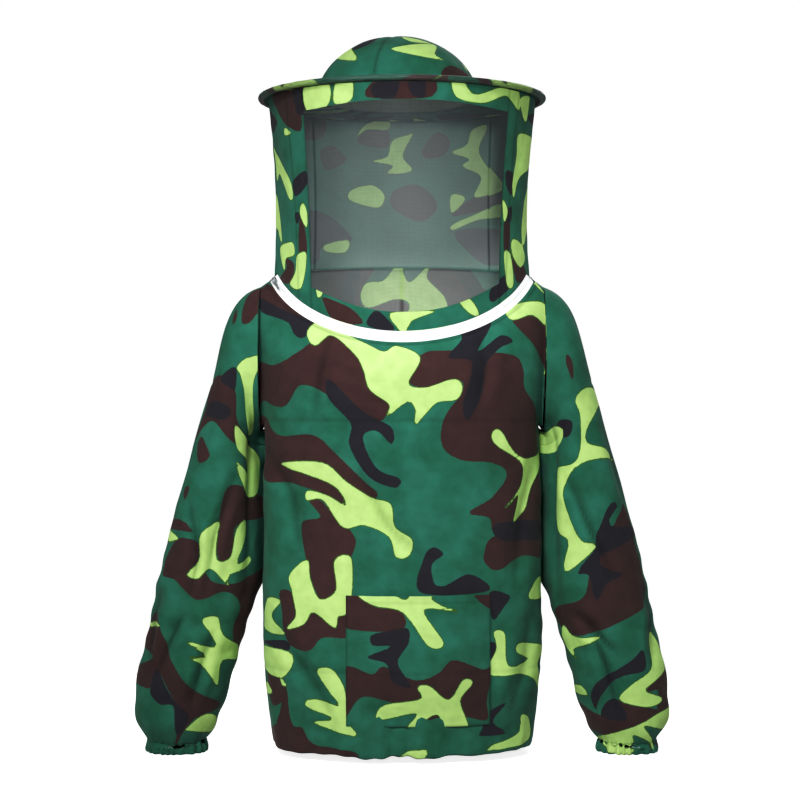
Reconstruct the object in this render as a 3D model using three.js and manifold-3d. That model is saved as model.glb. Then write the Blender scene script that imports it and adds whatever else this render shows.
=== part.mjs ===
// A pull-on beekeeping jacket with a brimmed, veiled hood that zips to its neckline.
// Millimetres. X runs to the wearer's left, Y to the wearer's back, Z up.
// The origin is between the wearer's shoulders, at shoulder height.
// The cloth is modelled as thin closed shells, laid side by side with a small gap at each seam.

import * as THREE from 'three';
import { mergeVertices } from 'three/addons/utils/BufferGeometryUtils.js';
import Module from 'manifold-3d';

const wasm = await Module();
wasm.setup();

// ---------- driving dimensions ----------

const CLOTH = 2.0; // thickness of a cloth shell
const SEAM_GAP = 0.4; // space left between two pieces that are sewn together

// Neckline: a circular arc in a plane that tips forward, from shoulder ridge to shoulder ridge.
const NECK_HALF_WIDTH = 178.5;
const NECK_FRONT = new THREE.Vector3(0, -115, -77);
const NECK_RIDGE_Y = -19;
const NECK_RIDGE_Z = 9;
const NAPE_Y = 118;
const NAPE_Z = 30;
const NECK_CLOSES_DEG = 16; // how far behind the shoulder ridge the hood and jacket edges take to meet

// Zip that joins hood and jacket along the neckline arc.
const ZIP_HALF_WIDTH = 6.8;
const ZIP_COIL_INNER = 0.6;
const ZIP_COIL_OUTER = 2.6;
const ZIP_COIL_HALF_HEIGHT = 1.1;
const ZIP_TAPE_THICKNESS = 0.9;
const ZIP_END_DEG = 70.8;
const ZIP_STOP_DEG = 0.6;
const SLIDER_PARK_DEG = -68.4;
const SLIDER_HALF_DEG = 1.7;

// Torso, as a superellipse at each height: [z, half width, front depth, back depth].
const TORSO_SQUARENESS = 2.4;
const TORSO_RINGS = [
  [-200, 191, 128, 122],
  [-330, 193, 130, 122],
  [-480, 194, 129, 120],
  [-560, 190, 124, 116],
  [-606, 183, 115, 109],
  [-641, 176, 109, 104],
];
const CHEST_Z = TORSO_RINGS[0][0];
const HEM_TOP_Z = -606;
const HEM_BOTTOM_Z = -641;

// Armhole, in a plane of constant X beside the torso.
const ARMHOLE_X = 198;
const ARMHOLE_TOP_Z = -4;
const UNDERARM_Z = -216;
const ARMHOLE_SWELL = 82;

// Sleeve stations: [outer x, outer z, inner x, inner z, half depth], from the dropped shoulder seam down.
const SLEEVE_STATIONS = [
  [265, -135, 204, -224, 64],
  [302, -262, 202, -287, 62],
  [335, -385, 204, -417, 63],
  [357, -490, 230, -520, 61],
  [371, -560, 249, -587, 58],
  [372, -605, 262, -618, 53],
  [355, -634, 277, -636, 42],
];
const CUFF_CENTRE_X = 315;
const CUFF_HALF_WIDTH = 39;
const CUFF_HALF_DEPTH = 36;
const CUFF_TOP_Z = -637;
const CUFF_BOTTOM_Z = -652;

// Hood: cloth and veil that hang from the brim and close in to the neckline.
const HOOD_TOP_Z = 253.4;
const HOOD_TOP_HALF_WIDTH = 186;
const HOOD_TOP_FRONT = 196;
const HOOD_TOP_BACK = 190;
const WINDOW_TURN_DEG = 2.4; // the veil window sits slightly round to the wearer's left
const WINDOW_EDGE_DEG = [56, 48.4]; // half angle of the window at its foot and at its head
const STRIP_EDGE_DEG = [64, 58.4]; // outer edge of the strips beside the window
const BACK_SEAM_DEG = 135;
const COLLAR_HEIGHT = [0.078, 0.1]; // share of the hood's height, at the middle and at the window's corners
const BAND_HEIGHT = [0.071, 0.1];

// Hat: a flat brim on a wire hoop, and a domed crown.
const BRIM_RADIUS = 197;
const BRIM_INNER = [106, 112];
const BRIM_TOP_Z = 261.1;
const CROWN_SHIFT_X = -6;
const CROWN_HALF_WIDTH = 115;
const CROWN_HALF_DEPTH = 121;
const CROWN_CENTRE_Z = 250;
const CROWN_RISE = 95;
const CROWN_PANELS = 4;
const CROWN_SEAM_DEG = -17;

// Patch pocket on the front.
const POCKET_LEFT_X = -75;
const POCKET_RIGHT_X = 118;
const POCKET_TOP_Z = -423;
const POCKET_BOTTOM_Z = -600;
const POCKET_HEM = 10;
const POCKET_ROOM = 9; // how far the pocket's mouth stands off the jacket

// ---------- colours ----------

const CAMO = { color: 0x2b6b53, roughness: 0.85, metalness: 0 };
const CAMO_DARK = { color: 0x1f4537, roughness: 0.85, metalness: 0 };
const CAMO_BROWN = { color: 0x3f2b2a, roughness: 0.85, metalness: 0 };
const CAMO_LIME = { color: 0xaee572, roughness: 0.85, metalness: 0 };
const NETTING = { color: 0x24272a, roughness: 0.7, metalness: 0, transparent: true, opacity: 0.45 };
const ZIP_WHITE = { color: 0xf2f4f6, roughness: 0.6, metalness: 0 };
const ZIP_METAL = { color: 0xd9dcdf, roughness: 0.35, metalness: 0.7 };
const ELASTIC = { color: 0xe8e6df, roughness: 0.9, metalness: 0 };
const STEEL = { color: 0x8f9296, roughness: 0.35, metalness: 0.9 };
const INTERLINING = { color: 0xd8d4c8, roughness: 0.95, metalness: 0 };

// ---------- small helpers ----------

const jacket = new THREE.Group();
const radians = THREE.MathUtils.degToRad;
const lerp = THREE.MathUtils.lerp;
const clamp = THREE.MathUtils.clamp;
const vec = (x, y, z) => new THREE.Vector3(x, y, z);
const mix = (a, b, t) => a.clone().lerp(b, t);
const ease = (low, high, x) => THREE.MathUtils.smoothstep(x, low, high);

function add(name, geometry, finish, parent = jacket) {
  const mesh = new THREE.Mesh(geometry, new THREE.MeshStandardMaterial(finish));
  mesh.name = name;
  parent.add(mesh);
  return mesh;
}

function geometryOf(points, triangles) {
  const geometry = new THREE.BufferGeometry().setFromPoints(points);
  geometry.setIndex(triangles);
  geometry.computeVertexNormals();
  return geometry;
}

function bezier(a, b, c, d, t) {
  const s = 1 - t;
  return a.clone().multiplyScalar(s * s * s)
    .addScaledVector(b, 3 * s * s * t)
    .addScaledVector(c, 3 * s * t * t)
    .addScaledVector(d, t * t * t);
}

// Smooth value at x through rows of [x, value, ...] whose x falls, for the value in the given column.
function through(rows, x, column) {
  const last = rows.length - 1;
  const below = rows.findIndex((row) => row[0] <= x);
  const i = clamp(below < 0 ? last - 1 : below - 1, 0, last - 1);
  const t = clamp((x - rows[i][0]) / (rows[i + 1][0] - rows[i][0]), 0, 1);
  const at = (k) => rows[clamp(k, 0, last)][column];
  return catmull(at(i - 1), at(i), at(i + 1), at(i + 2), t);
}

function catmull(p0, p1, p2, p3, t) {
  const v0 = (p2 - p0) / 2;
  const v1 = (p3 - p1) / 2;
  return (2 * p1 - 2 * p2 + v0 + v1) * t ** 3 + (-3 * p1 + 3 * p2 - 2 * v0 - v1) * t ** 2 + v0 * t + p1;
}

// A closed shell under surface(u, v), u and v from 0 to 1. Its outer face is the surface;
// the inner one lies the thickness behind it, on the side away from outward.
// Where seam(u, v) is 1, the thickness runs in the plane of the seam, which has a constant Y.
function shell(surface, uSteps, vSteps, { thickness = CLOTH, closed = false, outward, seam = () => 0 } = {}) {
  const columns = closed ? uSteps : uSteps + 1;
  const rows = vSteps + 1;
  const step = 1e-3;
  const outer = [];
  const inner = [];
  for (let j = 0; j < rows; j++) {
    for (let i = 0; i < columns; i++) {
      const u = i / uSteps;
      const v = j / vSteps;
      const p = surface(u, v);
      const u0 = closed ? u - step : Math.max(u - step, 0);
      const u1 = closed ? u + step : Math.min(u + step, 1);
      const du = surface(u1, v).sub(surface(u0, v));
      const dv = surface(u, Math.min(v + step, 1)).sub(surface(u, Math.max(v - step, 0)));
      const normal = du.cross(dv).normalize();
      if (normal.dot(outward(p)) < 0) normal.negate();
      normal.y *= 1 - seam(u, v);
      normal.normalize();
      outer.push(p);
      inner.push(p.clone().addScaledVector(normal, -thickness));
    }
  }
  const count = outer.length;
  const triangles = [];
  const at = (i, j) => j * columns + (i % columns);
  const quad = (a, b, c, d) => triangles.push(a, b, c, a, c, d);
  for (let j = 0; j < vSteps; j++) {
    for (let i = 0; i < uSteps; i++) {
      const [a, b, c, d] = [at(i, j), at(i + 1, j), at(i + 1, j + 1), at(i, j + 1)];
      quad(a, b, c, d);
      quad(count + a, count + d, count + c, count + b);
    }
  }
  for (let i = 0; i < uSteps; i++) {
    quad(at(i + 1, 0), at(i, 0), count + at(i, 0), count + at(i + 1, 0));
    quad(at(i, vSteps), at(i + 1, vSteps), count + at(i + 1, vSteps), count + at(i, vSteps));
  }
  for (let j = 0; j < vSteps && !closed; j++) {
    quad(at(0, j), at(0, j + 1), count + at(0, j + 1), count + at(0, j));
    quad(at(uSteps, j + 1), at(uSteps, j), count + at(uSteps, j), count + at(uSteps, j + 1));
  }
  return facingOut(outer.concat(inner), triangles);
}

// Turns the triangles over if the body they close has a negative volume.
function facingOut(points, triangles) {
  let volume = 0;
  for (let k = 0; k < triangles.length; k += 3) {
    const [a, b, c] = [points[triangles[k]], points[triangles[k + 1]], points[triangles[k + 2]]];
    volume += a.dot(b.clone().cross(c));
  }
  if (volume < 0) {
    for (let k = 0; k < triangles.length; k += 3) {
      [triangles[k], triangles[k + 1]] = [triangles[k + 1], triangles[k]];
    }
  }
  return geometryOf(points, triangles);
}

// Sweeps a closed flat profile, given anticlockwise, through stations;
// place(s, [p, q]) puts a profile point at station s.
function sweep(profile, stations, place, { closed = false } = {}) {
  const points = [];
  const triangles = [];
  const n = profile.length;
  for (const s of stations) {
    for (const point of profile) points.push(place(s, point));
  }
  const spans = closed ? stations.length : stations.length - 1;
  for (let s = 0; s < spans; s++) {
    const next = (s + 1) % stations.length;
    for (let k = 0; k < n; k++) {
      const l = (k + 1) % n;
      triangles.push(s * n + k, s * n + l, next * n + l, s * n + k, next * n + l, next * n + k);
    }
  }
  if (!closed) {
    const flat = profile.map(([p, q]) => new THREE.Vector2(p, q));
    const last = (stations.length - 1) * n;
    for (const [a, b, c] of THREE.ShapeUtils.triangulateShape(flat, [])) {
      triangles.push(a, c, b, last + a, last + b, last + c);
    }
  }
  return facingOut(points, triangles);
}

const steps = (low, high, count) => Array.from({ length: count + 1 }, (_, i) => lerp(low, high, i / count));
const fullTurn = (count) => steps(0, 2 * Math.PI, count).slice(0, -1);
const rectangle = (p0, p1, q0, q1) => [[p0, q0], [p1, q0], [p1, q1], [p0, q1]];

// ---------- neckline ----------

const neckRise = Math.hypot(NECK_RIDGE_Y - NECK_FRONT.y, NECK_RIDGE_Z - NECK_FRONT.z);
const neckRadius = (NECK_HALF_WIDTH ** 2 + neckRise ** 2) / (2 * neckRise);
const neckBack = vec(0, NECK_RIDGE_Y - NECK_FRONT.y, NECK_RIDGE_Z - NECK_FRONT.z).normalize();
const neckAxis = vec(1, 0, 0).cross(neckBack);
const neckCentre = NECK_FRONT.clone().addScaledVector(neckBack, neckRadius);
const neckEndDeg = THREE.MathUtils.radToDeg(Math.asin(NECK_HALF_WIDTH / neckRadius));

const neckRadial = (angle) => vec(Math.sin(angle), 0, 0).addScaledVector(neckBack, -Math.cos(angle));
const slopeDown = (angle) => neckRadial(angle).sub(neckAxis).multiplyScalar(Math.SQRT1_2);
const slopeOut = (angle) => neckRadial(angle).add(neckAxis).multiplyScalar(Math.SQRT1_2);

// Point of the 45 degree cone on which the zip lies: down the slope, and out from it.
function onNeck(angle, [down, out]) {
  return neckCentre.clone()
    .addScaledVector(neckRadial(angle), neckRadius)
    .addScaledVector(slopeDown(angle), down)
    .addScaledVector(slopeOut(angle), out);
}

// The whole neckline by compass angle: the zip's arc in front, a flatter sewn curve behind.
// Down is how far the edge lies below the zip's middle; the two edges close up behind the shoulder.
function neckline(compass, down) {
  const turn = Math.abs(compass);
  if (turn <= 90) return onNeck(radians(neckEndDeg * compass / 90), [down, 0]);
  const seam = Math.sign(down) * SEAM_GAP;
  const behind = radians(turn - 90);
  const closing = lerp(down, seam, ease(0, NECK_CLOSES_DEG, turn - 90));
  const edge = onNeck(radians(neckEndDeg) * Math.sign(compass), [closing, 0]);
  return vec(
    edge.x * Math.cos(behind),
    lerp(edge.y, NAPE_Y, Math.sin(behind)),
    lerp(edge.z, NAPE_Z - seam, Math.sin(behind)),
  );
}

// ---------- jacket body ----------

const torsoAt = (z) => [1, 2, 3].map((column) => through(TORSO_RINGS, z, column));

// Outline of the torso at a height. Turn 0 is the middle of the front, 90 the side, 180 the back.
function torso(turn, z, inset = 0) {
  const [halfWidth, front, back] = torsoAt(z);
  const power = 2 / TORSO_SQUARENESS;
  const s = Math.sin(radians(turn));
  const c = Math.cos(radians(turn));
  const depth = c > 0 ? front : back;
  return vec(
    Math.sign(s) * Math.abs(s) ** power * (halfWidth - inset),
    -Math.sign(c) * Math.abs(c) ** power * (depth - inset),
    z,
  );
}

// Half of the armhole's edge, from the shoulder tip (t = 0) to the underarm (t = 1).
function armhole(side, face, t, x = ARMHOLE_X) {
  const top = vec(x * side, 0, ARMHOLE_TOP_Z);
  const low = vec(x * side, 0, UNDERARM_Z);
  const swell = face * ARMHOLE_SWELL;
  return bezier(top, vec(x * side, swell, ARMHOLE_TOP_Z - 8), vec(x * side, swell, UNDERARM_Z + 34), low, t);
}

const SHOULDER_SHARE = 0.86; // share of a panel's half width that ends at the neckline
const CHEST_SHARE = 0.42; // share of a panel's height above the underarm

// Front (face -1) or back (face 1) panel: across is -1 to 1, and down is 0 at the neck to 1 at the hem.
function bodyPanel(face, across, down) {
  const side = Math.sign(across) || 1;
  const share = Math.abs(across);
  const turn = (face < 0 ? 90 * share : 180 - 90 * share) * side;
  if (down >= CHEST_SHARE) {
    const z = lerp(CHEST_Z, HEM_TOP_Z + SEAM_GAP, (down - CHEST_SHARE) / (1 - CHEST_SHARE));
    return torso(turn, z);
  }
  const ridge = neckline(face < 0 ? 90 * side : 91 * side, ZIP_HALF_WIDTH + SEAM_GAP);
  const tip = armhole(side, face, 0);
  let top;
  if (share <= SHOULDER_SHARE) {
    const compass = 90 * share / SHOULDER_SHARE;
    top = neckline((face < 0 ? compass : 180 - compass) * side, ZIP_HALF_WIDTH + SEAM_GAP);
  } else {
    top = mix(ridge, tip, (share - SHOULDER_SHARE) / (1 - SHOULDER_SHARE));
  }
  const low = torso(turn, CHEST_Z);
  const t = down / CHEST_SHARE;
  const reach = Math.abs(top.z - low.z) / 3;
  const spread = 0.45 * reach * side * ease(0.2, 0.8, share);
  const drop = top.clone().add(vec(spread, face * reach * 0.55, -reach * 0.9));
  const rise = low.clone().add(vec(0, 0, reach));
  const middle = bezier(top, drop, rise, low, t);
  const edge = mix(armhole(side, face, t), low, ease(0.9, 1, t));
  return mix(middle, edge, ease(0.8, 1, share) * (1 - ease(0.9, 1, t)));
}

const seamInset = (x, width) => lerp(SEAM_GAP / width, 1 - SEAM_GAP / width, x);
const awayFromAxis = (p) => vec(p.x, p.y, 0);

function addBodyPanel(name, face, finish) {
  const surface = (u, v) => {
    const across = lerp(-1, 1, seamInset(u, 600));
    const p = bodyPanel(face, across, v);
    return p.add(vec(0, face * 0.3, 0));
  };
  const outward = (p) => vec(p.x * 0.4, face * 120, 60 * ease(-120, 20, p.z));
  const seam = (u, v) => {
    const share = Math.abs(lerp(-1, 1, u));
    return Math.max(ease(0.9, 0.98, share), ease(0.7, 0.84, share) * (1 - ease(0, 0.15, v)));
  };
  add(name, shell(surface, 26, 14, { outward, seam }), finish);
}

// A ring of U-shaped section, open upwards, that holds an elastic: outline(angle, inset, z).
function channel(outline, top, bottom, count) {
  const wall = 1.4;
  const room = 2.2;
  const inner = 2 * wall + room;
  const profile = [
    [0, bottom], [0, top], [wall, top], [wall, bottom + wall],
    [wall + room, bottom + wall], [wall + room, top], [inner, top], [inner, bottom],
  ];
  return sweep(profile, fullTurn(count), (angle, [inset, z]) => outline(angle, inset, z), { closed: true });
}

// The flat elastic band that lies in such a channel.
function elasticBand(outline, top, bottom, count) {
  const profile = rectangle(1.9, 3.1, bottom + 1.9, top - 3);
  return sweep(profile, fullTurn(count), (angle, [inset, z]) => outline(angle, inset, z), { closed: true });
}

const hemOutline = (angle, inset, z) => torso(THREE.MathUtils.radToDeg(angle) - 180, z, inset);

function addBody() {
  addBodyPanel('front_panel', -1, CAMO);
  addBodyPanel('back_panel', 1, CAMO);
  add('hem_casing', channel(hemOutline, HEM_TOP_Z, HEM_BOTTOM_Z, 44), CAMO_DARK);
  add('hem_elastic', elasticBand(hemOutline, HEM_TOP_Z, HEM_BOTTOM_Z, 44), ELASTIC);
}

// ---------- pocket ----------

// Y of the front panel's outer face at a place on it.
function frontY(x, z) {
  const [halfWidth, front] = torsoAt(z);
  return -front * (1 - Math.abs(x / halfWidth) ** TORSO_SQUARENESS) ** (1 / TORSO_SQUARENESS) - 0.3;
}

// The pocket bulges from its three sewn edges to its open mouth.
function pocketSurface(u, z, standOff) {
  const x = lerp(POCKET_LEFT_X, POCKET_RIGHT_X, u);
  const fromSides = Math.min(ease(0, 0.24, u), ease(0, 0.24, 1 - u));
  const fromFoot = ease(POCKET_BOTTOM_Z, POCKET_BOTTOM_Z + 70, z);
  return vec(x, frontY(x, z) - standOff - POCKET_ROOM * fromSides * fromFoot, z);
}

function addPocket() {
  const outward = () => vec(0, -1, 0);
  const thickness = 1.2;
  const hemZ = POCKET_TOP_Z - POCKET_HEM;
  const sheet = (z0, z1) => (u, v) => pocketSurface(u, lerp(z0, z1, v), thickness + SEAM_GAP);
  const panel = sheet(POCKET_BOTTOM_Z, hemZ - SEAM_GAP);
  const hem = sheet(hemZ, POCKET_TOP_Z);
  add('pocket_panel', shell(panel, 18, 8, { outward, thickness }), CAMO_BROWN);
  add('pocket_hem', shell(hem, 18, 1, { outward, thickness: thickness - 0.2 }), CAMO_DARK);
}

// ---------- shoulders, sleeves and cuffs ----------

// Closed loop of the armhole. Angle 0 is the shoulder tip, a half turn the underarm.
function armholeLoop(side, angle, x) {
  const half = angle / Math.PI;
  return half <= 1 ? armhole(side, -1, half, x) : armhole(side, 1, 2 - half, x);
}

// Ring of the sleeve at a station number, which need not be whole.
function sleeveRing(side, station, angle) {
  const rows = SLEEVE_STATIONS.map((row, i) => [-i, ...row]);
  const [ox, oz, ix, iz, depth] = [1, 2, 3, 4, 5].map((column) => through(rows, -station, column));
  const share = (1 - Math.cos(angle)) / 2;
  return vec(lerp(ox, ix, share) * side, -Math.sin(angle) * depth, lerp(oz, iz, share));
}

// The dropped shoulder: from the armhole over the top of the arm to the sleeve seam.
function shoulderSurface(side, angle, t) {
  const start = armholeLoop(side, angle, ARMHOLE_X + 1.2);
  const end = sleeveRing(side, 0, angle);
  const reach = start.distanceTo(end) * 0.38;
  const leave = start.clone().addScaledVector(vec(side, 0, -0.35).normalize(), reach);
  const arrive = end.clone().addScaledVector(vec(-0.26 * side, 0, 0.96), reach);
  return bezier(start, leave, arrive, end, t);
}

// The sleeve closes in to its cuff over the last share of its length.
function sleeveSurface(side, angle, v) {
  const last = SLEEVE_STATIONS.length - 1;
  const down = v * (last + 1);
  if (down <= last) return sleeveRing(side, down, angle);
  const rim = sleeveRing(side, last, angle);
  return mix(rim, cuffOutline(side)(angle, 0, CUFF_TOP_Z + 4 * SEAM_GAP), down - last);
}

function cuffOutline(side) {
  return (angle, inset, z) => vec(
    (CUFF_CENTRE_X + (CUFF_HALF_WIDTH - inset) * Math.cos(angle)) * side,
    -Math.sin(angle) * (CUFF_HALF_DEPTH - inset),
    z,
  );
}

function addArm(label, side) {
  const arm = new THREE.Group();
  jacket.add(arm);
  const round = (u) => 2 * Math.PI * u;
  const centreX = (z) => side * lerp(CUFF_CENTRE_X, ARMHOLE_X + 20, ease(-640, -60, z));
  const outward = (p) => vec(p.x - centreX(p.z), p.y, p.z > -130 ? 60 : 0);
  const cap = (u, v) => shoulderSurface(side, round(u), v * 0.99);
  const tube = (u, v) => sleeveSurface(side, round(u), lerp(0.004, 1, v));
  add(`shoulder_${label}`, shell(cap, 20, 5, { closed: true, outward }), CAMO, arm);
  add(`sleeve_${label}`, shell(tube, 20, 12, { closed: true, outward }), CAMO, arm);
  const cuff = cuffOutline(side);
  add(`cuff_casing_${label}`, channel(cuff, CUFF_TOP_Z, CUFF_BOTTOM_Z, 24), CAMO_DARK, arm);
  add(`cuff_elastic_${label}`, elasticBand(cuff, CUFF_TOP_Z, CUFF_BOTTOM_Z, 24), ELASTIC, arm);
}

// ---------- zip ----------

const zipArc = (profile, fromDeg, toDeg, count) =>
  sweep(profile, steps(radians(fromDeg), radians(toDeg), count), onNeck);

function addZip() {
  const tape = ZIP_TAPE_THICKNESS / 2;
  const tapeStart = ZIP_COIL_OUTER + 0.3;
  const coil = ZIP_COIL_HALF_HEIGHT;
  const end = ZIP_END_DEG;
  const lowerTape = rectangle(tapeStart, ZIP_HALF_WIDTH, -tape, tape);
  const upperTape = rectangle(-ZIP_HALF_WIDTH, -tapeStart, -tape, tape);
  const lowerCoil = rectangle(ZIP_COIL_INNER, ZIP_COIL_OUTER, -coil, coil);
  const upperCoil = rectangle(-ZIP_COIL_OUTER, -ZIP_COIL_INNER, -coil, coil);
  add('zip_tape_lower', zipArc(lowerTape, -end, end, 32), ZIP_WHITE);
  add('zip_tape_upper', zipArc(upperTape, -end, end, 32), ZIP_WHITE);
  add('zip_coil_lower', zipArc(lowerCoil, -end, end, 32), ZIP_WHITE);
  add('zip_coil_upper', zipArc(upperCoil, -end, end, 32), ZIP_WHITE);
  const stop = rectangle(ZIP_COIL_INNER, ZIP_COIL_OUTER, -1.6, 1.6);
  const stopAt = (from) => zipArc(stop, from, from + ZIP_STOP_DEG, 1);
  add('zip_stop_left', stopAt(end + 0.15), ZIP_METAL);
  add('zip_stop_right', stopAt(-end - 0.15 - ZIP_STOP_DEG), ZIP_METAL);
}

// The slider's two plates hold the coils between them; the wedge that joins the plates runs
// between the coils, and two posts carry the bar on which the pull swings.
const PLATE_INNER = 1.5;
const PLATE_OUTER = 3.0;
const PLATE_HALF_WIDTH = 4.2;
const WEDGE_HALF = 0.28;
const BAR_HEIGHT = 5.6;
const BAR_HALF = 0.6;
const POST_INNER = 2.4;
const POST_OUTER = 3.4;
const BITE = 0.2; // how far two joined blocks reach into each other

function solidOf(geometry) {
  const bare = geometry.clone();
  bare.deleteAttribute('normal');
  const merged = mergeVertices(bare);
  return new wasm.Manifold(new wasm.Mesh({
    numProp: 3,
    vertProperties: new Float32Array(merged.attributes.position.array),
    triVerts: new Uint32Array(merged.index.array),
  }));
}

function geometryFrom(solid) {
  const mesh = solid.getMesh();
  const geometry = new THREE.BufferGeometry();
  geometry.setAttribute('position', new THREE.BufferAttribute(mesh.vertProperties, 3));
  geometry.setIndex(new THREE.BufferAttribute(mesh.triVerts, 1));
  geometry.computeVertexNormals();
  return geometry;
}

function addSlider() {
  const park = SLIDER_PARK_DEG;
  const short = THREE.MathUtils.radToDeg(BAR_HALF / neckRadius);
  const block = (profile, halfDeg, count) => solidOf(zipArc(profile, park - halfDeg, park + halfDeg, count));
  const wide = PLATE_HALF_WIDTH;
  const barTop = BAR_HEIGHT + BAR_HALF;
  const wedge = rectangle(-WEDGE_HALF, WEDGE_HALF, -PLATE_INNER - BITE, PLATE_INNER + BITE);
  const bar = rectangle(-POST_OUTER + BITE, POST_OUTER - BITE, BAR_HEIGHT - BAR_HALF, barTop - BITE / 2);
  const blocks = [
    block(rectangle(-wide, wide, -PLATE_OUTER, -PLATE_INNER), SLIDER_HALF_DEG, 4),
    block(wedge, SLIDER_HALF_DEG / 2, 2),
    block(rectangle(-wide, wide, PLATE_INNER, PLATE_OUTER), SLIDER_HALF_DEG, 4),
    block(rectangle(POST_INNER, POST_OUTER, PLATE_OUTER - BITE, barTop), short, 1),
    block(rectangle(-POST_OUTER, -POST_INNER, PLATE_OUTER - BITE, barTop), short, 1),
    block(bar, short * 0.9, 1),
  ];
  add('zip_slider', geometryFrom(blocks.reduce((whole, part) => whole.add(part))), ZIP_METAL);
  addPull(park);
}

function addPull(park) {
  const angle = radians(park);
  const out = slopeOut(angle);
  const along = neckAxis.clone().cross(neckRadial(angle));
  const outer = 2.2;
  const tail = new THREE.Shape();
  tail.absarc(0, 0, outer, radians(-148), radians(-30), true);
  tail.lineTo(21, -1.1);
  tail.lineTo(21, -2.2);
  tail.lineTo(0, -2.2);
  tail.closePath();
  const eye = new THREE.Path();
  eye.absarc(0, 0, 1.25, 0, 2 * Math.PI, false);
  tail.holes.push(eye);
  const geometry = new THREE.ExtrudeGeometry(tail, { depth: 4, bevelEnabled: false, curveSegments: 7 });
  geometry.translate(0, 0, -2);
  const basis = new THREE.Matrix4().makeBasis(along, out, along.clone().cross(out));
  basis.setPosition(onNeck(angle, [0, BAR_HEIGHT]));
  add('zip_pull', geometry.applyMatrix4(basis), ZIP_METAL);
}

// ---------- hood ----------

// The hood's surface: compass angle from the front, and height from 0 at the zip to 1 at the brim.
function hood(compass, height) {
  const turn = radians(compass);
  const depth = Math.cos(turn) > 0 ? HOOD_TOP_FRONT : HOOD_TOP_BACK;
  const top = vec(HOOD_TOP_HALF_WIDTH * Math.sin(turn), -depth * Math.cos(turn), HOOD_TOP_Z);
  const foot = neckline(compass, -ZIP_HALF_WIDTH - 3 * SEAM_GAP);
  const tuck = Math.sin(Math.PI * height) * 5 * Math.abs(Math.sin(turn));
  return mix(foot, top, height).sub(vec(tuck * Math.sin(turn), 0, 0));
}

const windowEdge = (side, height) => WINDOW_TURN_DEG + side * lerp(...WINDOW_EDGE_DEG, height);
const stripEdge = (side, height) => side * lerp(...STRIP_EDGE_DEG, height);
const cornerShare = (compass) => ease(10, 55, Math.abs(compass - WINDOW_TURN_DEG));
const collarTop = (compass) => lerp(...COLLAR_HEIGHT, cornerShare(compass));
const bandFoot = (compass) => 1 - lerp(...BAND_HEIGHT, cornerShare(compass));

// A patch of the hood between two edges that depend on the height and two that depend on the angle.
function hoodPatch(left, right, foot, head) {
  return (u, v) => {
    let height = v;
    let compass = 0;
    for (let pass = 0; pass < 6; pass++) {
      const [l, r] = [left(height), right(height)];
      compass = lerp(l, r, seamInset(u, Math.abs(r - l) * 3.2));
      const [f, h] = [foot(compass), head(compass)];
      height = lerp(f, h, seamInset(v, Math.abs(h - f) * 300));
    }
    return hood(compass, height);
  };
}

function addHoodPatch(name, edges, uSteps, vSteps, finish, thickness = CLOTH) {
  const surface = hoodPatch(...edges);
  add(name, shell(surface, uSteps, vSteps, { thickness, outward: awayFromAxis }), finish);
}

function addHood() {
  const zero = () => 0;
  const one = () => 1;
  const windowLeft = (height) => windowEdge(-1, height);
  const windowRight = (height) => windowEdge(1, height);
  addHoodPatch('collar_band', [windowLeft, windowRight, zero, collarTop], 16, 2, CAMO_BROWN);
  addHoodPatch('veil_mesh', [windowLeft, windowRight, collarTop, bandFoot], 16, 7, NETTING, 1);
  addHoodPatch('top_band', [windowLeft, windowRight, bandFoot, one], 16, 2, CAMO_LIME);
  for (const [label, side] of [['left', 1], ['right', -1]]) {
    const window = (height) => windowEdge(side, height);
    const strip = (height) => stripEdge(side, height);
    const seam = () => BACK_SEAM_DEG * side;
    addHoodPatch(`window_strip_${label}`, [window, strip, zero, one], 3, 7, CAMO_DARK);
    addHoodPatch(`hood_side_${label}`, [strip, seam, zero, one], 8, 7, CAMO);
  }
  addHoodPatch('hood_back', [() => BACK_SEAM_DEG, () => 360 - BACK_SEAM_DEG, zero, one], 10, 7, CAMO);
}

// ---------- hat ----------

// An oval ring: rectangle section between two ovals, each [half width, half depth].
function ovalRing(inner, outer, low, high, count, shift = 0) {
  const profile = rectangle(0, 1, low, high);
  const place = (angle, [share, z]) => vec(
    lerp(inner[0], outer[0], share) * Math.cos(angle) + shift * (1 - share),
    lerp(inner[1], outer[1], share) * Math.sin(angle),
    z,
  );
  return sweep(profile, fullTurn(count), place, { closed: true });
}

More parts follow.
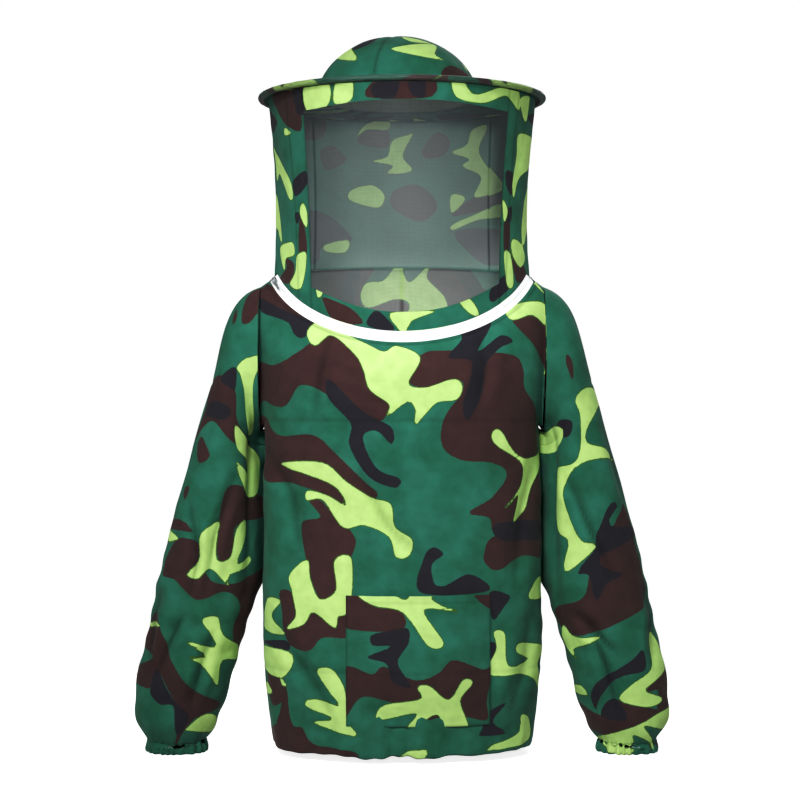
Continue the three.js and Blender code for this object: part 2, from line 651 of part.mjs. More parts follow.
function addBrim() {
  const disc = (inset, edge, low, high) => ovalRing(
    BRIM_INNER.map((r) => r + inset), [BRIM_RADIUS - edge, BRIM_RADIUS - edge], low, high, 48, CROWN_SHIFT_X,
  );
  add('brim_top', disc(0, 0, BRIM_TOP_Z - 1.4, BRIM_TOP_Z), CAMO);
  add('brim_stiffener', disc(2, 4, BRIM_TOP_Z - 4.0, BRIM_TOP_Z - 1.7), INTERLINING);
  add('brim_underside', disc(0, 0, BRIM_TOP_Z - 5.8, BRIM_TOP_Z - 4.4), CAMO_DARK);
  const [hoopRadius, hoopZ, wireRadius] = [BRIM_RADIUS - 1.6, BRIM_TOP_Z - 2.9, 1.1];
  const hoop = fullTurn(8).map((a) => [hoopRadius + wireRadius * Math.cos(a), hoopZ + wireRadius * Math.sin(a)]);
  const circle = (angle, [r, z]) => vec(r * Math.cos(angle), r * Math.sin(angle), z);
  add('brim_wire', sweep(hoop, fullTurn(48), circle, { closed: true }), STEEL);
  const [near, far] = [BRIM_RADIUS - 5, BRIM_RADIUS + 3];
  const [low, high] = [BRIM_TOP_Z - 6.1, BRIM_TOP_Z + 0.3];
  const binding = [
    [near, high], [BRIM_RADIUS + 0.5, high], [BRIM_RADIUS + 0.5, low], [near, low],
    [near, low - 1], [far, low - 1], [far, high + 1], [near, high + 1],
  ];
  add('brim_binding', sweep(binding, fullTurn(48), circle, { closed: true }), CAMO_DARK);
}

// Point of the crown's dome at a compass angle; rise is 0 at the brim and 1 at the top.
function dome(angle, rise, shrink = 0) {
  const floor = Math.asin((BRIM_TOP_Z + SEAM_GAP - CROWN_CENTRE_Z) / CROWN_RISE);
  const climb = lerp(floor, Math.PI / 2, rise);
  return vec(
    CROWN_SHIFT_X + (CROWN_HALF_WIDTH - shrink) * Math.cos(climb) * Math.sin(angle),
    -(CROWN_HALF_DEPTH - shrink) * Math.cos(climb) * Math.cos(angle),
    CROWN_CENTRE_Z + (CROWN_RISE - shrink) * Math.sin(climb),
  );
}

// One crown panel: a gore that narrows to a small blunt tip at the top of the dome.
function crownPanel(index) {
  const width = 360 / CROWN_PANELS;
  const start = CROWN_SEAM_DEG + index * width;
  const middle = radians(start + width / 2);
  const apart = vec(Math.sin(middle), -Math.cos(middle), 0).multiplyScalar(0.3);
  const surface = (u, v) => dome(radians(start + width * u), v * 0.985).add(apart);
  const outward = (p) => vec(p.x - CROWN_SHIFT_X, p.y, p.z - CROWN_CENTRE_Z + 30);
  return shell(surface, 8, 7, { outward });
}

function addCrown() {
  for (let i = 0; i < CROWN_PANELS; i++) add(`crown_panel_${i + 1}`, crownPanel(i), i % 2 ? CAMO_DARK : CAMO);
  const band = ovalRing([101.5, 107.5], [103.4, 109.4], BRIM_TOP_Z - 3, BRIM_TOP_Z + 20, 40);
  band.translate(CROWN_SHIFT_X, 0, 0);
  add('sweatband', band, INTERLINING);
}

// ---------- the whole jacket ----------

addBody();
addPocket();
addArm('left', 1);
addArm('right', -1);
addZip();
addSlider();
addHood();
addBrim();
addCrown();

export default jacket;
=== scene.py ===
"""Looks of a pull-on beekeeping jacket with a veiled, brimmed hood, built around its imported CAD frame.

Shapes are worked out in millimetres and handed to Blender in metres.
X runs to the wearer's left, Y to the wearer's back, Z up; left and right are the wearer's.
Each piece of cloth is a grid of points: rows run down the cloth, columns across it.
"""

import math

import bpy
import numpy as np
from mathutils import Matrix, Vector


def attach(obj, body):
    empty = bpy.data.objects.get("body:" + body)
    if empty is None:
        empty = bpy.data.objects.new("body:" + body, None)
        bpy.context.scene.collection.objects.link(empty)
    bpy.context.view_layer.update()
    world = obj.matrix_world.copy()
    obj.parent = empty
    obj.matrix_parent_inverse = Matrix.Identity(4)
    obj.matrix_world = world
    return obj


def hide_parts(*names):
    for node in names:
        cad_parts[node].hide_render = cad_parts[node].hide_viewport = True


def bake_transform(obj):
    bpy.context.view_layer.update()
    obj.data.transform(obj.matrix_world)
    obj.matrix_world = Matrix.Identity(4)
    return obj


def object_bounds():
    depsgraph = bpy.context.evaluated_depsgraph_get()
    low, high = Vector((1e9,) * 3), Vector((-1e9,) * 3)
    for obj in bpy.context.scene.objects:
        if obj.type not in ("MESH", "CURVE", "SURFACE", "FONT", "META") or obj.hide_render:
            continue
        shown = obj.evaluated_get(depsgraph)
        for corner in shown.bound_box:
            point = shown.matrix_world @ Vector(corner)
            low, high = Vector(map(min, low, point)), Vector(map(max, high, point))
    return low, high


MM = 0.001
CLOTH = 0.9  # thickness of the cloth

# The camera's distance in front of the shoulders, and its place across and up.
CAMERA_DISTANCE = 2800
CAMERA_X = -2.8
CAMERA_Z = -162

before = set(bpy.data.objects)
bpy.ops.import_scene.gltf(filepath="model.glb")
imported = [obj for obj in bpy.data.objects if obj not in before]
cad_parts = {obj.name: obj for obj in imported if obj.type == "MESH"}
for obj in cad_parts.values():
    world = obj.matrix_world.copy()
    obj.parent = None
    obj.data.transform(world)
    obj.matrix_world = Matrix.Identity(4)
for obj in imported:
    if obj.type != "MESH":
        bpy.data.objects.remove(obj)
cad_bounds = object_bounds()


# ---------- the camouflage print ----------
# Closed outlines of the print's patches: (x, z) as seen from the front, in the plane through the shoulders.

# Each is a smooth line through the points where it turns.
TORSO = {
    "brown": [
        [(-202, -5), (-186, 0), (-150, -30), (-112, -50), (-132, -66), (-157, -40), (-202, -22)],
        [(-205, -140), (-180, -113), (-145, -95), (-98, -72), (-57, -103), (-47, -140), (-17, -160),
         (-30, -192),
         (-65, -173), (-105, -154), (-140, -141), (-168, -172), (-206, -183)],
        [(-206, -200), (-175, -210), (-125, -211), (-95, -235), (-52, -277), (-34, -297), (-77, -312),
         (-112, -292), (-157, -278), (-206, -274)],
        [(-130, -302), (-114, -326), (-141, -334), (-137, -375), (-115, -440), (-92, -428), (-68, -375),
         (-67, -352), (-97, -320), (-115, -302)],
        [(-171, -430), (-155, -430), (-127, -453), (-73, -466), (-74, -494), (-112, -495), (-130, -513),
         (-161, -502), (-168, -456)],
        [(-190, -533), (-170, -549), (-161, -575), (-181, -588)],
        [(-161, -568), (-155, -612), (-125, -643), (-62, -658), (-67, -669), (-108, -666), (-176, -642),
         (-170, -595)],
        [(27, -99), (63, -93), (150, -98), (169, -116), (172, -148), (188, -190), (200, -250), (200, -351),
         (134, -350), (122, -327), (93, -320), (126, -298), (147, -265), (126, -250), (83, -246), (56, -225),
         (60, -185), (84, -150), (78, -134), (31, -145), (8, -133)],
        [(115, -378), (132, -351), (200, -344), (200, -386), (170, -380), (135, -400), (119, -393)],
        [(154, -51), (181, -42), (207, -58), (216, -90), (211, -162), (203, -160), (198, -115), (180, -80)],
    ],
    "black": [
        [(-199, -20), (-198, -36), (-175, -47), (-158, -55), (-150, -71), (-136, -75), (-125, -54),
         (-158, -39)],
        [(-108, -137), (-95, -138), (-52, -180), (-15, -200), (-14, -224), (-36, -205), (-55, -215),
         (-35, -258),
         (-3, -272), (-8, -285), (-46, -270), (-74, -225), (-72, -195), (-102, -160)],
        [(-193, -499), (-165, -499), (-161, -513), (-185, -505)],
        [(85, -64), (125, -51), (107, -92), (137, -72), (155, -80), (136, -90), (119, -112), (114, -150),
         (92, -190), (85, -165), (98, -110), (65, -103), (83, -78)],
        [(134, -334), (200, -336), (198, -350), (160, -359), (132, -355)],
        [(27, -432), (30, -385), (43, -368), (58, -378), (42, -392), (45, -418), (60, -422), (95, -406),
         (122, -429)],
        [(123, -431), (150, -436), (143, -451), (127, -470)],
        [(123, -501), (134, -508), (123, -527)],
        [(120, -600), (146, -586), (127, -612), (145, -628), (110, -632), (112, -623)],
    ],
    "lime": [
        [(-112, -50), (-132, -66), (-122, -86), (-98, -71), (-66, -98), (-54, -120), (-45, -147), (-18, -168),
         (-20, -184), (8, -164), (19, -176), (18, -197), (34, -180), (50, -165), (76, -161), (84, -143),
         (71, -133), (31, -145), (9, -138), (25, -103), (-7, -86), (-25, -94), (-50, -83), (-95, -60)],
        [(-168, -250), (-112, -250), (-77, -277), (-43, -299), (-16, -308), (-10, -340), (14, -358),
         (10, -380),
         (-8, -382), (-18, -354), (-52, -337), (-83, -340), (-110, -302), (-132, -302), (-131, -289),
         (-104, -296), (-78, -310), (-92, -284), (-130, -267), (-162, -256)],
        [(-134, -386), (-158, -408), (-153, -431), (-148, -464), (-160, -482), (-138, -476), (-124, -459),
         (-95, -481), (-90, -465), (-77, -460), (-70, -425), (-72, -382), (-94, -387), (-92, -428),
         (-115, -441), (-129, -410)],
        [(-190, -441), (-170, -443), (-182, -464), (-165, -490), (-193, -478)],
        [(-193, -504), (-160, -515), (-166, -550), (-193, -530)],
        [(-189, -556), (-181, -572), (-190, -569)],
        [(-169, -550), (-160, -562), (-168, -560)],
        [(-119, -541), (-98, -539), (-80, -570), (-77, -610), (-65, -633), (-123, -614), (-96, -609),
         (-134, -590), (-125, -581), (-88, -591), (-103, -569)],
        [(126, -210), (138, -205), (170, -244), (190, -228), (196, -260), (182, -284), (175, -313),
         (157, -332),
         (164, -295), (142, -313), (167, -281), (167, -251), (132, -225)],
        [(179, -428), (200, -413), (200, -428), (182, -441)],
        [(129, -487), (144, -490), (148, -534), (178, -525), (160, -514), (170, -502), (200, -502),
         (188, -529),
         (200, -564), (176, -547), (122, -546), (133, -510)],
        [(167, -603), (178, -610), (176, -638), (126, -652), (125, -646), (163, -628)],
        [(20, -653), (36, -655), (10, -672), (-7, -662)],
        [(144, -36), (155, -29), (206, -31), (221, -31), (236, -58), (238, -92), (231, -109), (217, -82),
         (206, -56), (180, -43), (154, -50)],
        [(181, 9), (206, -6), (188, -3)],
    ],
}
POCKET = {
    "brown": [
        [(-81, -438), (-60, -434), (-36, -452), (-2, -457), (1, -483), (-55, -485), (-81, -477)],
        [(-81, -537), (-42, -546), (-25, -535), (18, -554), (50, -545), (72, -526), (112, -539), (129, -534),
         (118, -580), (118, -609), (85, -604), (-2, -588), (-55, -577), (-81, -606)],
        [(27, -620), (41, -603), (56, -604), (62, -631), (25, -631)],
        [(99, -434), (126, -427), (126, -455)],
        [(109, -617), (123, -617), (123, -627), (108, -627)],
    ],
    "black": [
        [(-42, -491), (-17, -485), (8, -482), (9, -503), (-6, -530), (13, -563), (-13, -557), (-22, -531),
         (-48, -522), (-15, -507), (-41, -505)],
    ],
    "lime": [
        [(-60, -434), (-18, -434), (5, -442), (18, -432), (70, -432), (40, -437), (55, -450), (77, -458),
         (30, -456), (58, -502), (38, -507), (12, -471), (-5, -456), (-40, -449)],
        [(-35, -600), (-22, -588), (26, -580), (22, -564), (38, -562), (65, -581), (85, -554), (98, -558),
         (81, -582), (92, -622), (62, -625), (50, -602), (31, -611), (25, -624), (6, -623), (20, -600),
         (-30, -609)],
    ],
}
HOOD = {
    "brown": [
        [(-109, -18), (-73, -33), (-55, -55), (-95, -50), (-109, -28)],
        [(-165, 38), (-151, 28), (-157, 2), (-171, 8), (-162, 23)],
        [(-182, 265), (-151, 273), (-141, 216), (-165, 226), (-174, 244)],
        [(-144, 86), (-138, 88), (-133, 45), (-144, 40)],
        [(-49, 262), (-29, 290), (41, 292), (39, 262)],
        [(143, 89), (151, 85), (150, 44), (143, 44)],
        [(154, 42), (163, 40), (174, 14), (161, 3)],
    ],
    "black": [
        [(-38, -37), (-24, -45), (-11, -64), (-49, -57)],
        [(123, -9), (143, 12), (153, -1), (127, -25)],
        [(-153, 276), (-137, 278), (-133, 243), (-147, 240)],
        [(-193, 237), (-175, 230), (-178, 219), (-193, 224)],
        [(-153, 143), (-136, 159), (-133, 140), (-149, 123)],
        [(-150, 100), (-141, 98), (-147, 84)],
        [(-41, 279), (-5, 290), (-11, 262), (-38, 262)],
        [(8, 290), (31, 290), (31, 262), (14, 266)],
        [(176, 234), (185, 241), (185, 224)],
        [(146, 159), (157, 152), (154, 125), (146, 138)],
        [(147, 104), (154, 108), (153, 89), (147, 87)],
    ],
    "lime": [
        [(-120, -2), (-111, -12), (-118, -18)],
        [(-15, -40), (46, -37), (15, -50), (4, -67), (-5, -62)],
        [(81, -25), (95, -21), (108, -42), (97, -42)],
        [(-147, 40), (-134, 42), (-141, -4), (-157, 0), (-149, 18)],
        [(-164, 219), (-155, 211), (-164, 209)],
        [(-193, 202), (-180, 200), (-164, 160), (-153, 130), (-157, 119), (-172, 154), (-193, 164)],
        [(-139, 114), (-133, 100), (-134, 80), (-143, 100)],
        [(-183, 121), (-174, 115), (-169, 58), (-179, 93)],
        [(-171, 51), (-155, 59), (-151, 42), (-163, 36), (-165, 20)],
        [(-137, 278), (-104, 283), (-104, 251), (-132, 241)],
        [(-91, 287), (-71, 289), (-71, 259), (-95, 254)],
        [(70, 290), (83, 290), (101, 266), (137, 275), (164, 269), (164, 243), (146, 264), (113, 254),
         (77, 262)],
        [(165, 258), (179, 261), (174, 227)],
        [(164, 210), (185, 205), (180, 168), (165, 150), (157, 122), (155, 142), (161, 180)],
        [(141, 118), (148, 103), (143, 88)],
        [(143, 44), (152, 40), (156, -1), (147, 0)],
        [(172, 121), (178, 124), (174, 66), (168, 61)],
        [(155, 63), (168, 55), (172, 37), (165, 24), (154, 44)],
    ],
}
CROWN_PRINT = {
    "brown": [[(55, 297), (71, 306), (99, 286), (65, 288)]],
    "black": [[(-71, 329), (-48, 343), (-32, 346), (-41, 338), (-60, 330)]],
    "lime": [
        [(-101, 314), (-71, 331), (-64, 314)],
        [(-10, 332), (45, 335), (46, 322), (58, 314), (24, 320), (-8, 327)],
        [(1, 346), (34, 339), (48, 336), (15, 339)],
    ],
}
RIGHT_SLEEVE = {
    "brown": [
        [(-188, 5), (-209, -10), (-225, -50), (-214, -54), (-196, -36), (-185, -46)],
        [(-232, -33), (-237, -56), (-231, -47)],
        [(-266, -133), (-234, -148), (-230, -193), (-208, -222), (-232, -224), (-265, -191), (-290, -220),
         (-284, -180)],
        [(-279, -215), (-269, -240), (-284, -250), (-286, -220)],
        [(-305, -287), (-297, -283), (-304, -302)],
        [(-322, -330), (-309, -330), (-295, -346), (-322, -341)],
        [(-244, -285), (-220, -284), (-196, -300), (-198, -320), (-230, -336), (-235, -378), (-258, -384),
         (-255, -325)],
        [(-318, -359), (-286, -362), (-276, -403), (-248, -420), (-193, -386), (-193, -442), (-213, -498),
         (-237, -498), (-226, -450), (-248, -430), (-287, -442), (-316, -415), (-349, -417)],
        [(-361, -473), (-333, -492), (-325, -522), (-295, -566), (-253, -588), (-290, -608), (-316, -645),
         (-312, -605), (-340, -545), (-356, -566), (-372, -540), (-347, -522), (-361, -498)],
    ],
    "black": [
        [(-196, -19), (-185, -21), (-185, -47), (-197, -36)],
        [(-251, -127), (-232, -117), (-234, -148), (-252, -138)],
        [(-269, -166), (-240, -175), (-250, -190), (-273, -184)],
        [(-344, -539), (-318, -585), (-298, -605), (-314, -631), (-320, -592), (-340, -588), (-353, -568)],
    ],
    "lime": [
        [(-231, -117), (-212, -102), (-193, -103), (-208, -137), (-206, -200), (-212, -212), (-220, -160),
         (-226, -127)],
        [(-231, -198), (-205, -235), (-203, -287), (-216, -294), (-231, -250), (-212, -266), (-216, -246),
         (-231, -228)],
        [(-255, -331), (-282, -352), (-284, -385), (-301, -406), (-286, -412), (-268, -398), (-244, -421),
         (-242, -406), (-211, -394), (-210, -381), (-232, -391), (-216, -350), (-217, -330), (-231, -342),
         (-240, -382), (-260, -385), (-258, -348)],
        [(-325, -343), (-313, -356), (-328, -359)],
        [(-280, -470), (-258, -466), (-250, -492), (-228, -507), (-231, -523), (-252, -527), (-259, -561),
         (-279, -534), (-300, -521), (-270, -523), (-301, -500), (-262, -509), (-267, -490)],
        [(-357, -469), (-339, -479), (-356, -473)],
        [(-301, -621), (-276, -602), (-260, -606), (-267, -624), (-298, -625)],
        [(-378, -599), (-364, -620), (-381, -613)],
    ],
}
LEFT_SLEEVE = {
    "brown": [
        [(231, -98), (239, -110), (239, -134), (230, -113)],
        [(325, -317), (351, -407), (361, -460), (295, -478), (241, -491), (218, -475), (216, -452),
         (253, -439),
         (264, -400), (281, -365)],
        [(368, -527), (377, -568), (375, -596), (357, -592), (358, -568), (342, -568)],
        [(305, -583), (354, -595), (375, -596), (330, -620), (298, -635), (253, -605), (241, -568),
         (280, -603),
         (294, -589)],
    ],
    "black": [
        [(218, -193), (237, -191), (234, -212), (218, -212)],
        [(272, -351), (290, -309), (301, -309), (292, -338), (328, -327), (282, -378), (288, -399),
         (316, -406),
         (288, -418), (272, -443), (262, -408), (246, -403), (272, -368)],
        [(321, -527), (336, -512), (340, -540), (300, -552), (273, -588), (277, -604), (264, -580),
         (276, -555)],
        [(286, -585), (302, -583), (315, -610), (280, -604)],
    ],
    "lime": [
        [(196, -200), (220, -200), (218, -226), (197, -226)],
        [(245, -156), (275, -153), (292, -190), (260, -200), (263, -224), (298, -246), (252, -250),
         (228, -281),
         (230, -312), (250, -358), (273, -365), (237, -399), (226, -396), (233, -360), (215, -340),
         (213, -280),
         (216, -258), (245, -246), (250, -185)],
        [(223, -478), (240, -492), (277, -496), (239, -511), (246, -525), (228, -505)],
        [(349, -502), (363, -494), (366, -535), (340, -567), (363, -580), (345, -592), (305, -582),
         (322, -560),
         (350, -537)],
        [(252, -607), (302, -635), (350, -607), (375, -593), (366, -623), (338, -618), (350, -640),
         (325, -631),
         (323, -655), (295, -656), (260, -628)],
        [(241, -560), (251, -561), (259, -575), (243, -567)],
    ],
}
HOOD_INSIDE = {
    "brown": [
        [(-63, 201), (-42, 219), (-20, 215), (-20, 192), (-45, 192)],
        [(29, 189), (49, 213), (67, 200), (60, 182), (34, 176)],
        [(69, 96), (115, 132), (146, 132), (146, 110), (106, 101)],
        [(-146, 231), (-109, 229), (-112, 205), (-146, 205)],
        [(-115, 185), (-98, 194), (-78, 174), (-106, 160)],
        [(-10, 132), (25, 138), (50, 110), (25, 87), (-14, 108)],
    ],
    "black": [
        [(-143, 97), (-105, 97), (-70, 62), (-112, 52), (-118, 31), (-143, 31)],
        [(74, 73), (143, 73), (143, 31), (109, 31)],
    ],
    "lime": [
        [(-64, 205), (-50, 224), (-20, 229), (-20, 216), (-50, 216)],
        [(10, 209), (-13, 201), (-21, 178), (-42, 172), (-13, 166), (-20, 155), (14, 159), (1, 180),
         (15, 209)],
        [(116, 223), (119, 216), (108, 184), (143, 140), (143, 132), (102, 122), (111, 150), (85, 165),
         (95, 175),
         (70, 184), (91, 195), (98, 215)],
        [(73, 84), (126, 108), (146, 110), (146, 96), (104, 89), (73, 76)],
        [(69, 124), (84, 124), (88, 117), (70, 100)],
        [(-109, 54), (-76, 61), (-80, 45), (-106, 45)],
        [(-70, 132), (-42, 138), (-25, 124), (-34, 107), (-73, 118)],
    ],
}


# ---------- small helpers ----------


def vec(x, y, z):
    return np.stack(np.broadcast_arrays(x, y, z), -1).astype(float)


def lerp(a, b, t):
    return a + (b - a) * t


def ease(low, high, x):
    t = np.clip((x - low) / (high - low), 0, 1)
    return t * t * (3 - 2 * t)


def hump(x, middle, width):
    """1 in the middle, falling smoothly to 0 on both sides."""
    return np.exp(-(((x - middle) / width) ** 2))


def mix(a, b, t):
    return a + (b - a) * np.asarray(t)[..., None]


def bezier(a, b, c, d, t):
    t = np.asarray(t)[..., None]
    s = 1 - t
    return s**3 * a + 3 * s * s * t * b + 3 * s * t * t * c + t**3 * d


def curve_between(p0, p1, p2, p3, t):
    """Smooth curve from p1 to p2 that heads for its neighbours."""
    v0, v1 = (p2 - p0) / 2, (p3 - p1) / 2
    return (2 * p1 - 2 * p2 + v0 + v1) * t**3 + (-3 * p1 + 3 * p2 - 2 * v0 - v1) * t**2 + v0 * t + p1


def through(rows, x, column):
    """Smooth value at x through rows of [x, value, ...] whose x falls."""
    table = np.array(rows, float)
    keys, values = table[:, 0], table[:, column]
    last = len(rows) - 1
    i = np.clip(np.searchsorted(-keys, -np.asarray(x, float), side="left") - 1, 0, last - 1)
    t = np.clip((x - keys[i]) / (keys[i + 1] - keys[i]), 0, 1)
    p0, p1 = values[np.clip(i - 1, 0, last)], values[i]
    p2, p3 = values[i + 1], values[np.clip(i + 2, 0, last)]
    return curve_between(p0, p1, p2, p3, t)


def grid(rows, columns):
    """Row and column values spread over a grid."""
    return np.meshgrid(rows, columns, indexing="ij")


def waves(s, t, seed, size, count=7):
    """A smooth random unevenness between -1 and 1, with bumps of about the given size."""
    random = np.random.default_rng(seed)
    total = 0
    for _ in range(count):
        turn, phase = random.uniform(0, 2 * np.pi, 2)
        length = size * random.uniform(0.8, 1.9)
        total = total + np.sin(2 * np.pi * (s * np.cos(turn) + t * np.sin(turn)) / length + phase)
    return total / count


# ---------- neckline, torso and armhole, with the CAD part's dimensions ----------

ZIP_EDGE = 6.8
SEAM = 0.4  # gap between two CAD pieces that are sewn together
NECK_FRONT = np.array([0, -115, -77.0])
NECK_HALF_WIDTH = 178.5
NECK_TO_RIDGE = np.array([0, 96, 86.0])
NAPE_Y = 118
NAPE_Z = 30
neck_rise = np.linalg.norm(NECK_TO_RIDGE)
neck_radius = (NECK_HALF_WIDTH**2 + neck_rise**2) / (2 * neck_rise)
neck_back = NECK_TO_RIDGE / neck_rise
neck_axis = np.cross([1, 0, 0], neck_back)
neck_centre = NECK_FRONT + neck_back * neck_radius
neck_end = math.asin(NECK_HALF_WIDTH / neck_radius)


def neck_radial(angle):
    return np.sin(angle)[..., None] * np.array([1.0, 0, 0]) - np.cos(angle)[..., None] * neck_back


def on_neck(angle, down, out):
    """Point of the 45 degree cone on which the zip lies: down the slope, and out from it."""
    angle, down, out = (np.asarray(v, float) for v in np.broadcast_arrays(angle, down, out))
    radial = neck_radial(angle)
    slope_down = (radial - neck_axis) * math.sqrt(0.5)
    slope_out = (radial + neck_axis) * math.sqrt(0.5)
    return neck_centre + radial * neck_radius + slope_down * down[..., None] + slope_out * out[..., None]


def neckline(compass, down):
    """The neckline by compass angle: the zip's arc in front, a flatter sewn curve behind."""
    compass = np.asarray(compass, float)
    turn = np.abs(compass)
    front = on_neck(neck_end * np.clip(compass, -90, 90) / 90, down, 0)
    edge = on_neck(neck_end * np.sign(compass), lerp(down, 0, ease(0, 4, turn - 90)), 0)
    behind = np.radians(np.maximum(turn - 90, 0))
    back = vec(
        edge[..., 0] * np.cos(behind),
        lerp(edge[..., 1], NAPE_Y, np.sin(behind)),
        lerp(edge[..., 2], NAPE_Z, np.sin(behind)),
    )
    return np.where((turn <= 90)[..., None], front, back)


TORSO_SQUARENESS = 2.4
TORSO_RINGS = [  # height, half width, front depth, back depth
    [-200, 191, 128, 122],
    [-330, 193, 130, 122],
    [-480, 194, 129, 120],
    [-560, 190, 124, 116],
    [-606, 183, 115, 109],
    [-641, 176, 109, 104],
]
CHEST_Z = -200
HEM_TOP_Z = -606
HEM_BOTTOM_Z = -641
ARMHOLE_X = 198


def torso(turn, z, inset=0):
    """Outline of the torso at a height: turn 0 is the middle of the front, 90 the side."""
    half_width, front, back = (through(TORSO_RINGS, z, column) for column in (1, 2, 3))
    power = 2 / TORSO_SQUARENESS
    s, c = np.sin(np.radians(turn)), np.cos(np.radians(turn))
    depth = np.where(c > 0, front, back)
    return vec(
        np.sign(s) * np.abs(s) ** power * (half_width - inset),
        -np.sign(c) * np.abs(c) ** power * (depth - inset),
        z,
    )


ARMHOLE_SWELL = 82.0
ARMHOLE_HEIGHTS = (-4, -12, -182, -216)  # shoulder tip, the two points that pull the curve, underarm


def armhole(side, face, t):
    """Half of the armhole's edge, from the shoulder tip to the underarm."""
    swell = np.asarray(face * ARMHOLE_SWELL)
    x = ARMHOLE_X * side
    tip, upper, lower, underarm = ARMHOLE_HEIGHTS
    return bezier(vec(x, 0, tip), vec(x, swell, upper), vec(x, swell, lower), vec(x, 0, underarm), t)


SHOULDER_SHARE = 0.86
CHEST_SHARE = 0.42


def body_panel(face, across, down):
    """Front (face -1) or back (face 1) panel: across is -1 to 1, down is 0 at the neck to 1 at the hem."""
    side = np.where(across < 0, -1.0, 1.0)
    share = np.abs(across)
    turn = (90 * share if face < 0 else 180 - 90 * share) * side
    below_chest = (np.maximum(down, CHEST_SHARE) - CHEST_SHARE) / (1 - CHEST_SHARE)
    below = torso(turn, lerp(CHEST_Z, HEM_TOP_Z + SEAM, below_chest))
    compass = 90 * np.minimum(share, SHOULDER_SHARE) / SHOULDER_SHARE
    edge_down = ZIP_EDGE + SEAM
    at_neck = neckline((compass if face < 0 else 180 - compass) * side, edge_down)
    ridge = neckline((90 if face < 0 else 91) * side, edge_down)
    along = np.clip((share - SHOULDER_SHARE) / (1 - SHOULDER_SHARE), 0, 1)
    at_ridge = mix(ridge, armhole(side, face, np.zeros_like(share)), along)
    top = np.where((share <= SHOULDER_SHARE)[..., None], at_neck, at_ridge)
    low = torso(turn, np.full_like(share, CHEST_Z))
    t = np.minimum(down / CHEST_SHARE, 1)
    reach = np.abs(top[..., 2] - low[..., 2]) / 3
    drop = top + vec(0.45 * reach * side * ease(0.2, 0.8, share), face * reach * 0.55, -reach * 0.9)
    middle = bezier(top, drop, low + vec(0, 0, reach), low, t)
    at_arm = mix(armhole(side, face, t), low, ease(0.9, 1, t))
    above = mix(middle, at_arm, ease(0.8, 1, share) * (1 - ease(0.9, 1, t)))
    points = np.where((down >= CHEST_SHARE)[..., None], below, above)
    return points + vec(0, face * 0.3, 0)


# ---------- cloth as grids ----------


def across_and_down(points, closed):
    """Unit normals of a grid, from its steps across and down."""
    across = np.gradient(points, axis=1)
    if closed:
        across = np.gradient(np.concatenate([points[:, -1:], points, points[:, :1]], 1), axis=1)[:, 1:-1]
    normal = np.cross(across, np.gradient(points, axis=0))
    return normal / (np.linalg.norm(normal, axis=2, keepdims=True) + 1e-9)


def creases(places, paths, depth, width):
    """Soft creases along paths of points: valleys between ridges, and how far each point is in a valley."""
    total = 0
    line = 0
    for path in paths:
        points = np.asarray(path, float)
        best = np.full(places.shape[:-1], 1e9)
        share = np.zeros_like(best)
        for i, (a, b) in enumerate(zip(points[:-1], points[1:])):
            along = b - a
            t = np.clip(((places - a) * along).sum(-1) / (along**2).sum(), 0, 1)
            distance = np.linalg.norm(places - a - t[..., None] * along, axis=-1)
            share = np.where(distance < best, (i + t) / (len(points) - 1), share)
            best = np.minimum(best, distance)
        across = best / width
        profile = -np.exp(-(across**2)) + 0.55 * np.exp(-((across - 1.7) ** 2))
        fade = np.sin(np.pi * np.clip(share, 0, 1)) ** 0.7
        total = total + depth * profile * fade
        line = np.maximum(line, np.exp(-((best / (0.45 * width)) ** 2)) * fade)
    return total, line


def awayness(points, centre):
    """Level unit steps away from a centre."""
    away = points - centre
    away[..., 2] = 0
    return away / (np.linalg.norm(away, axis=2, keepdims=True) + 1e-9)


class Cloth:
    """A grid of points with its normals and its coordinates along the cloth, in millimetres."""

    def __init__(self, points, outward, closed=False):
        self.points = points
        self.closed = closed
        normal = across_and_down(points, closed)
        facing = np.sign((normal * outward(points)).sum(2, keepdims=True))
        self.normal = normal * np.where(facing == 0, 1, facing)
        strides = np.linalg.norm(np.diff(points, axis=1), axis=2)
        s = np.concatenate([np.zeros((len(points), 1)), np.cumsum(strides, 1)], 1)
        self.s = s - s[:, [s.shape[1] // 2]]
        drops = np.linalg.norm(np.diff(points, axis=0), axis=2).mean(1)
        t = np.concatenate([[0], np.cumsum(drops)])
        self.t = np.repeat(t[:, None], s.shape[1], 1)
        self.paint = {}
        self.lining = {}
        self.lift = np.zeros(s.shape)
        self.crease_and_painted_shade = np.zeros(s.shape)  # how dark painted shade makes the colour: in creases, along seams and stitching, under the brim
        self.drawn = np.ones(s.shape, bool)  # where outlines drawn from the front can land

    def shaped(self):
        return self.points + self.normal * self.lift[..., None]

    def shaped_normals(self):
        normal = across_and_down(self.shaped(), self.closed)
        facing = np.sign((normal * self.normal).sum(2, keepdims=True))
        return normal * np.where(facing == 0, 1, facing)


def seen(points):
    """Where points are seen from the camera's place, in the plane through the shoulders."""
    nearness = CAMERA_DISTANCE / (CAMERA_DISTANCE + points[..., 1])
    x = CAMERA_X + (points[..., 0] - CAMERA_X) * nearness
    z = CAMERA_Z + (points[..., 2] - CAMERA_Z) * nearness
    return np.stack([x, z], -1)


OUTLINE_STEPS = 6  # straight steps between two points of an outline


def smooth_outline(outline):
    """Closed curve through an outline's points."""
    p1 = np.asarray(outline, float)
    p0, p2, p3 = np.roll(p1, 1, 0), np.roll(p1, -1, 0), np.roll(p1, -2, 0)
    pieces = [curve_between(p0, p1, p2, p3, t) for t in np.arange(OUTLINE_STEPS) / OUTLINE_STEPS]
    return np.stack(pieces, 1).reshape(-1, 2)


SPILL = 6  # how many grid steps an outline may run on past the edge of what is seen


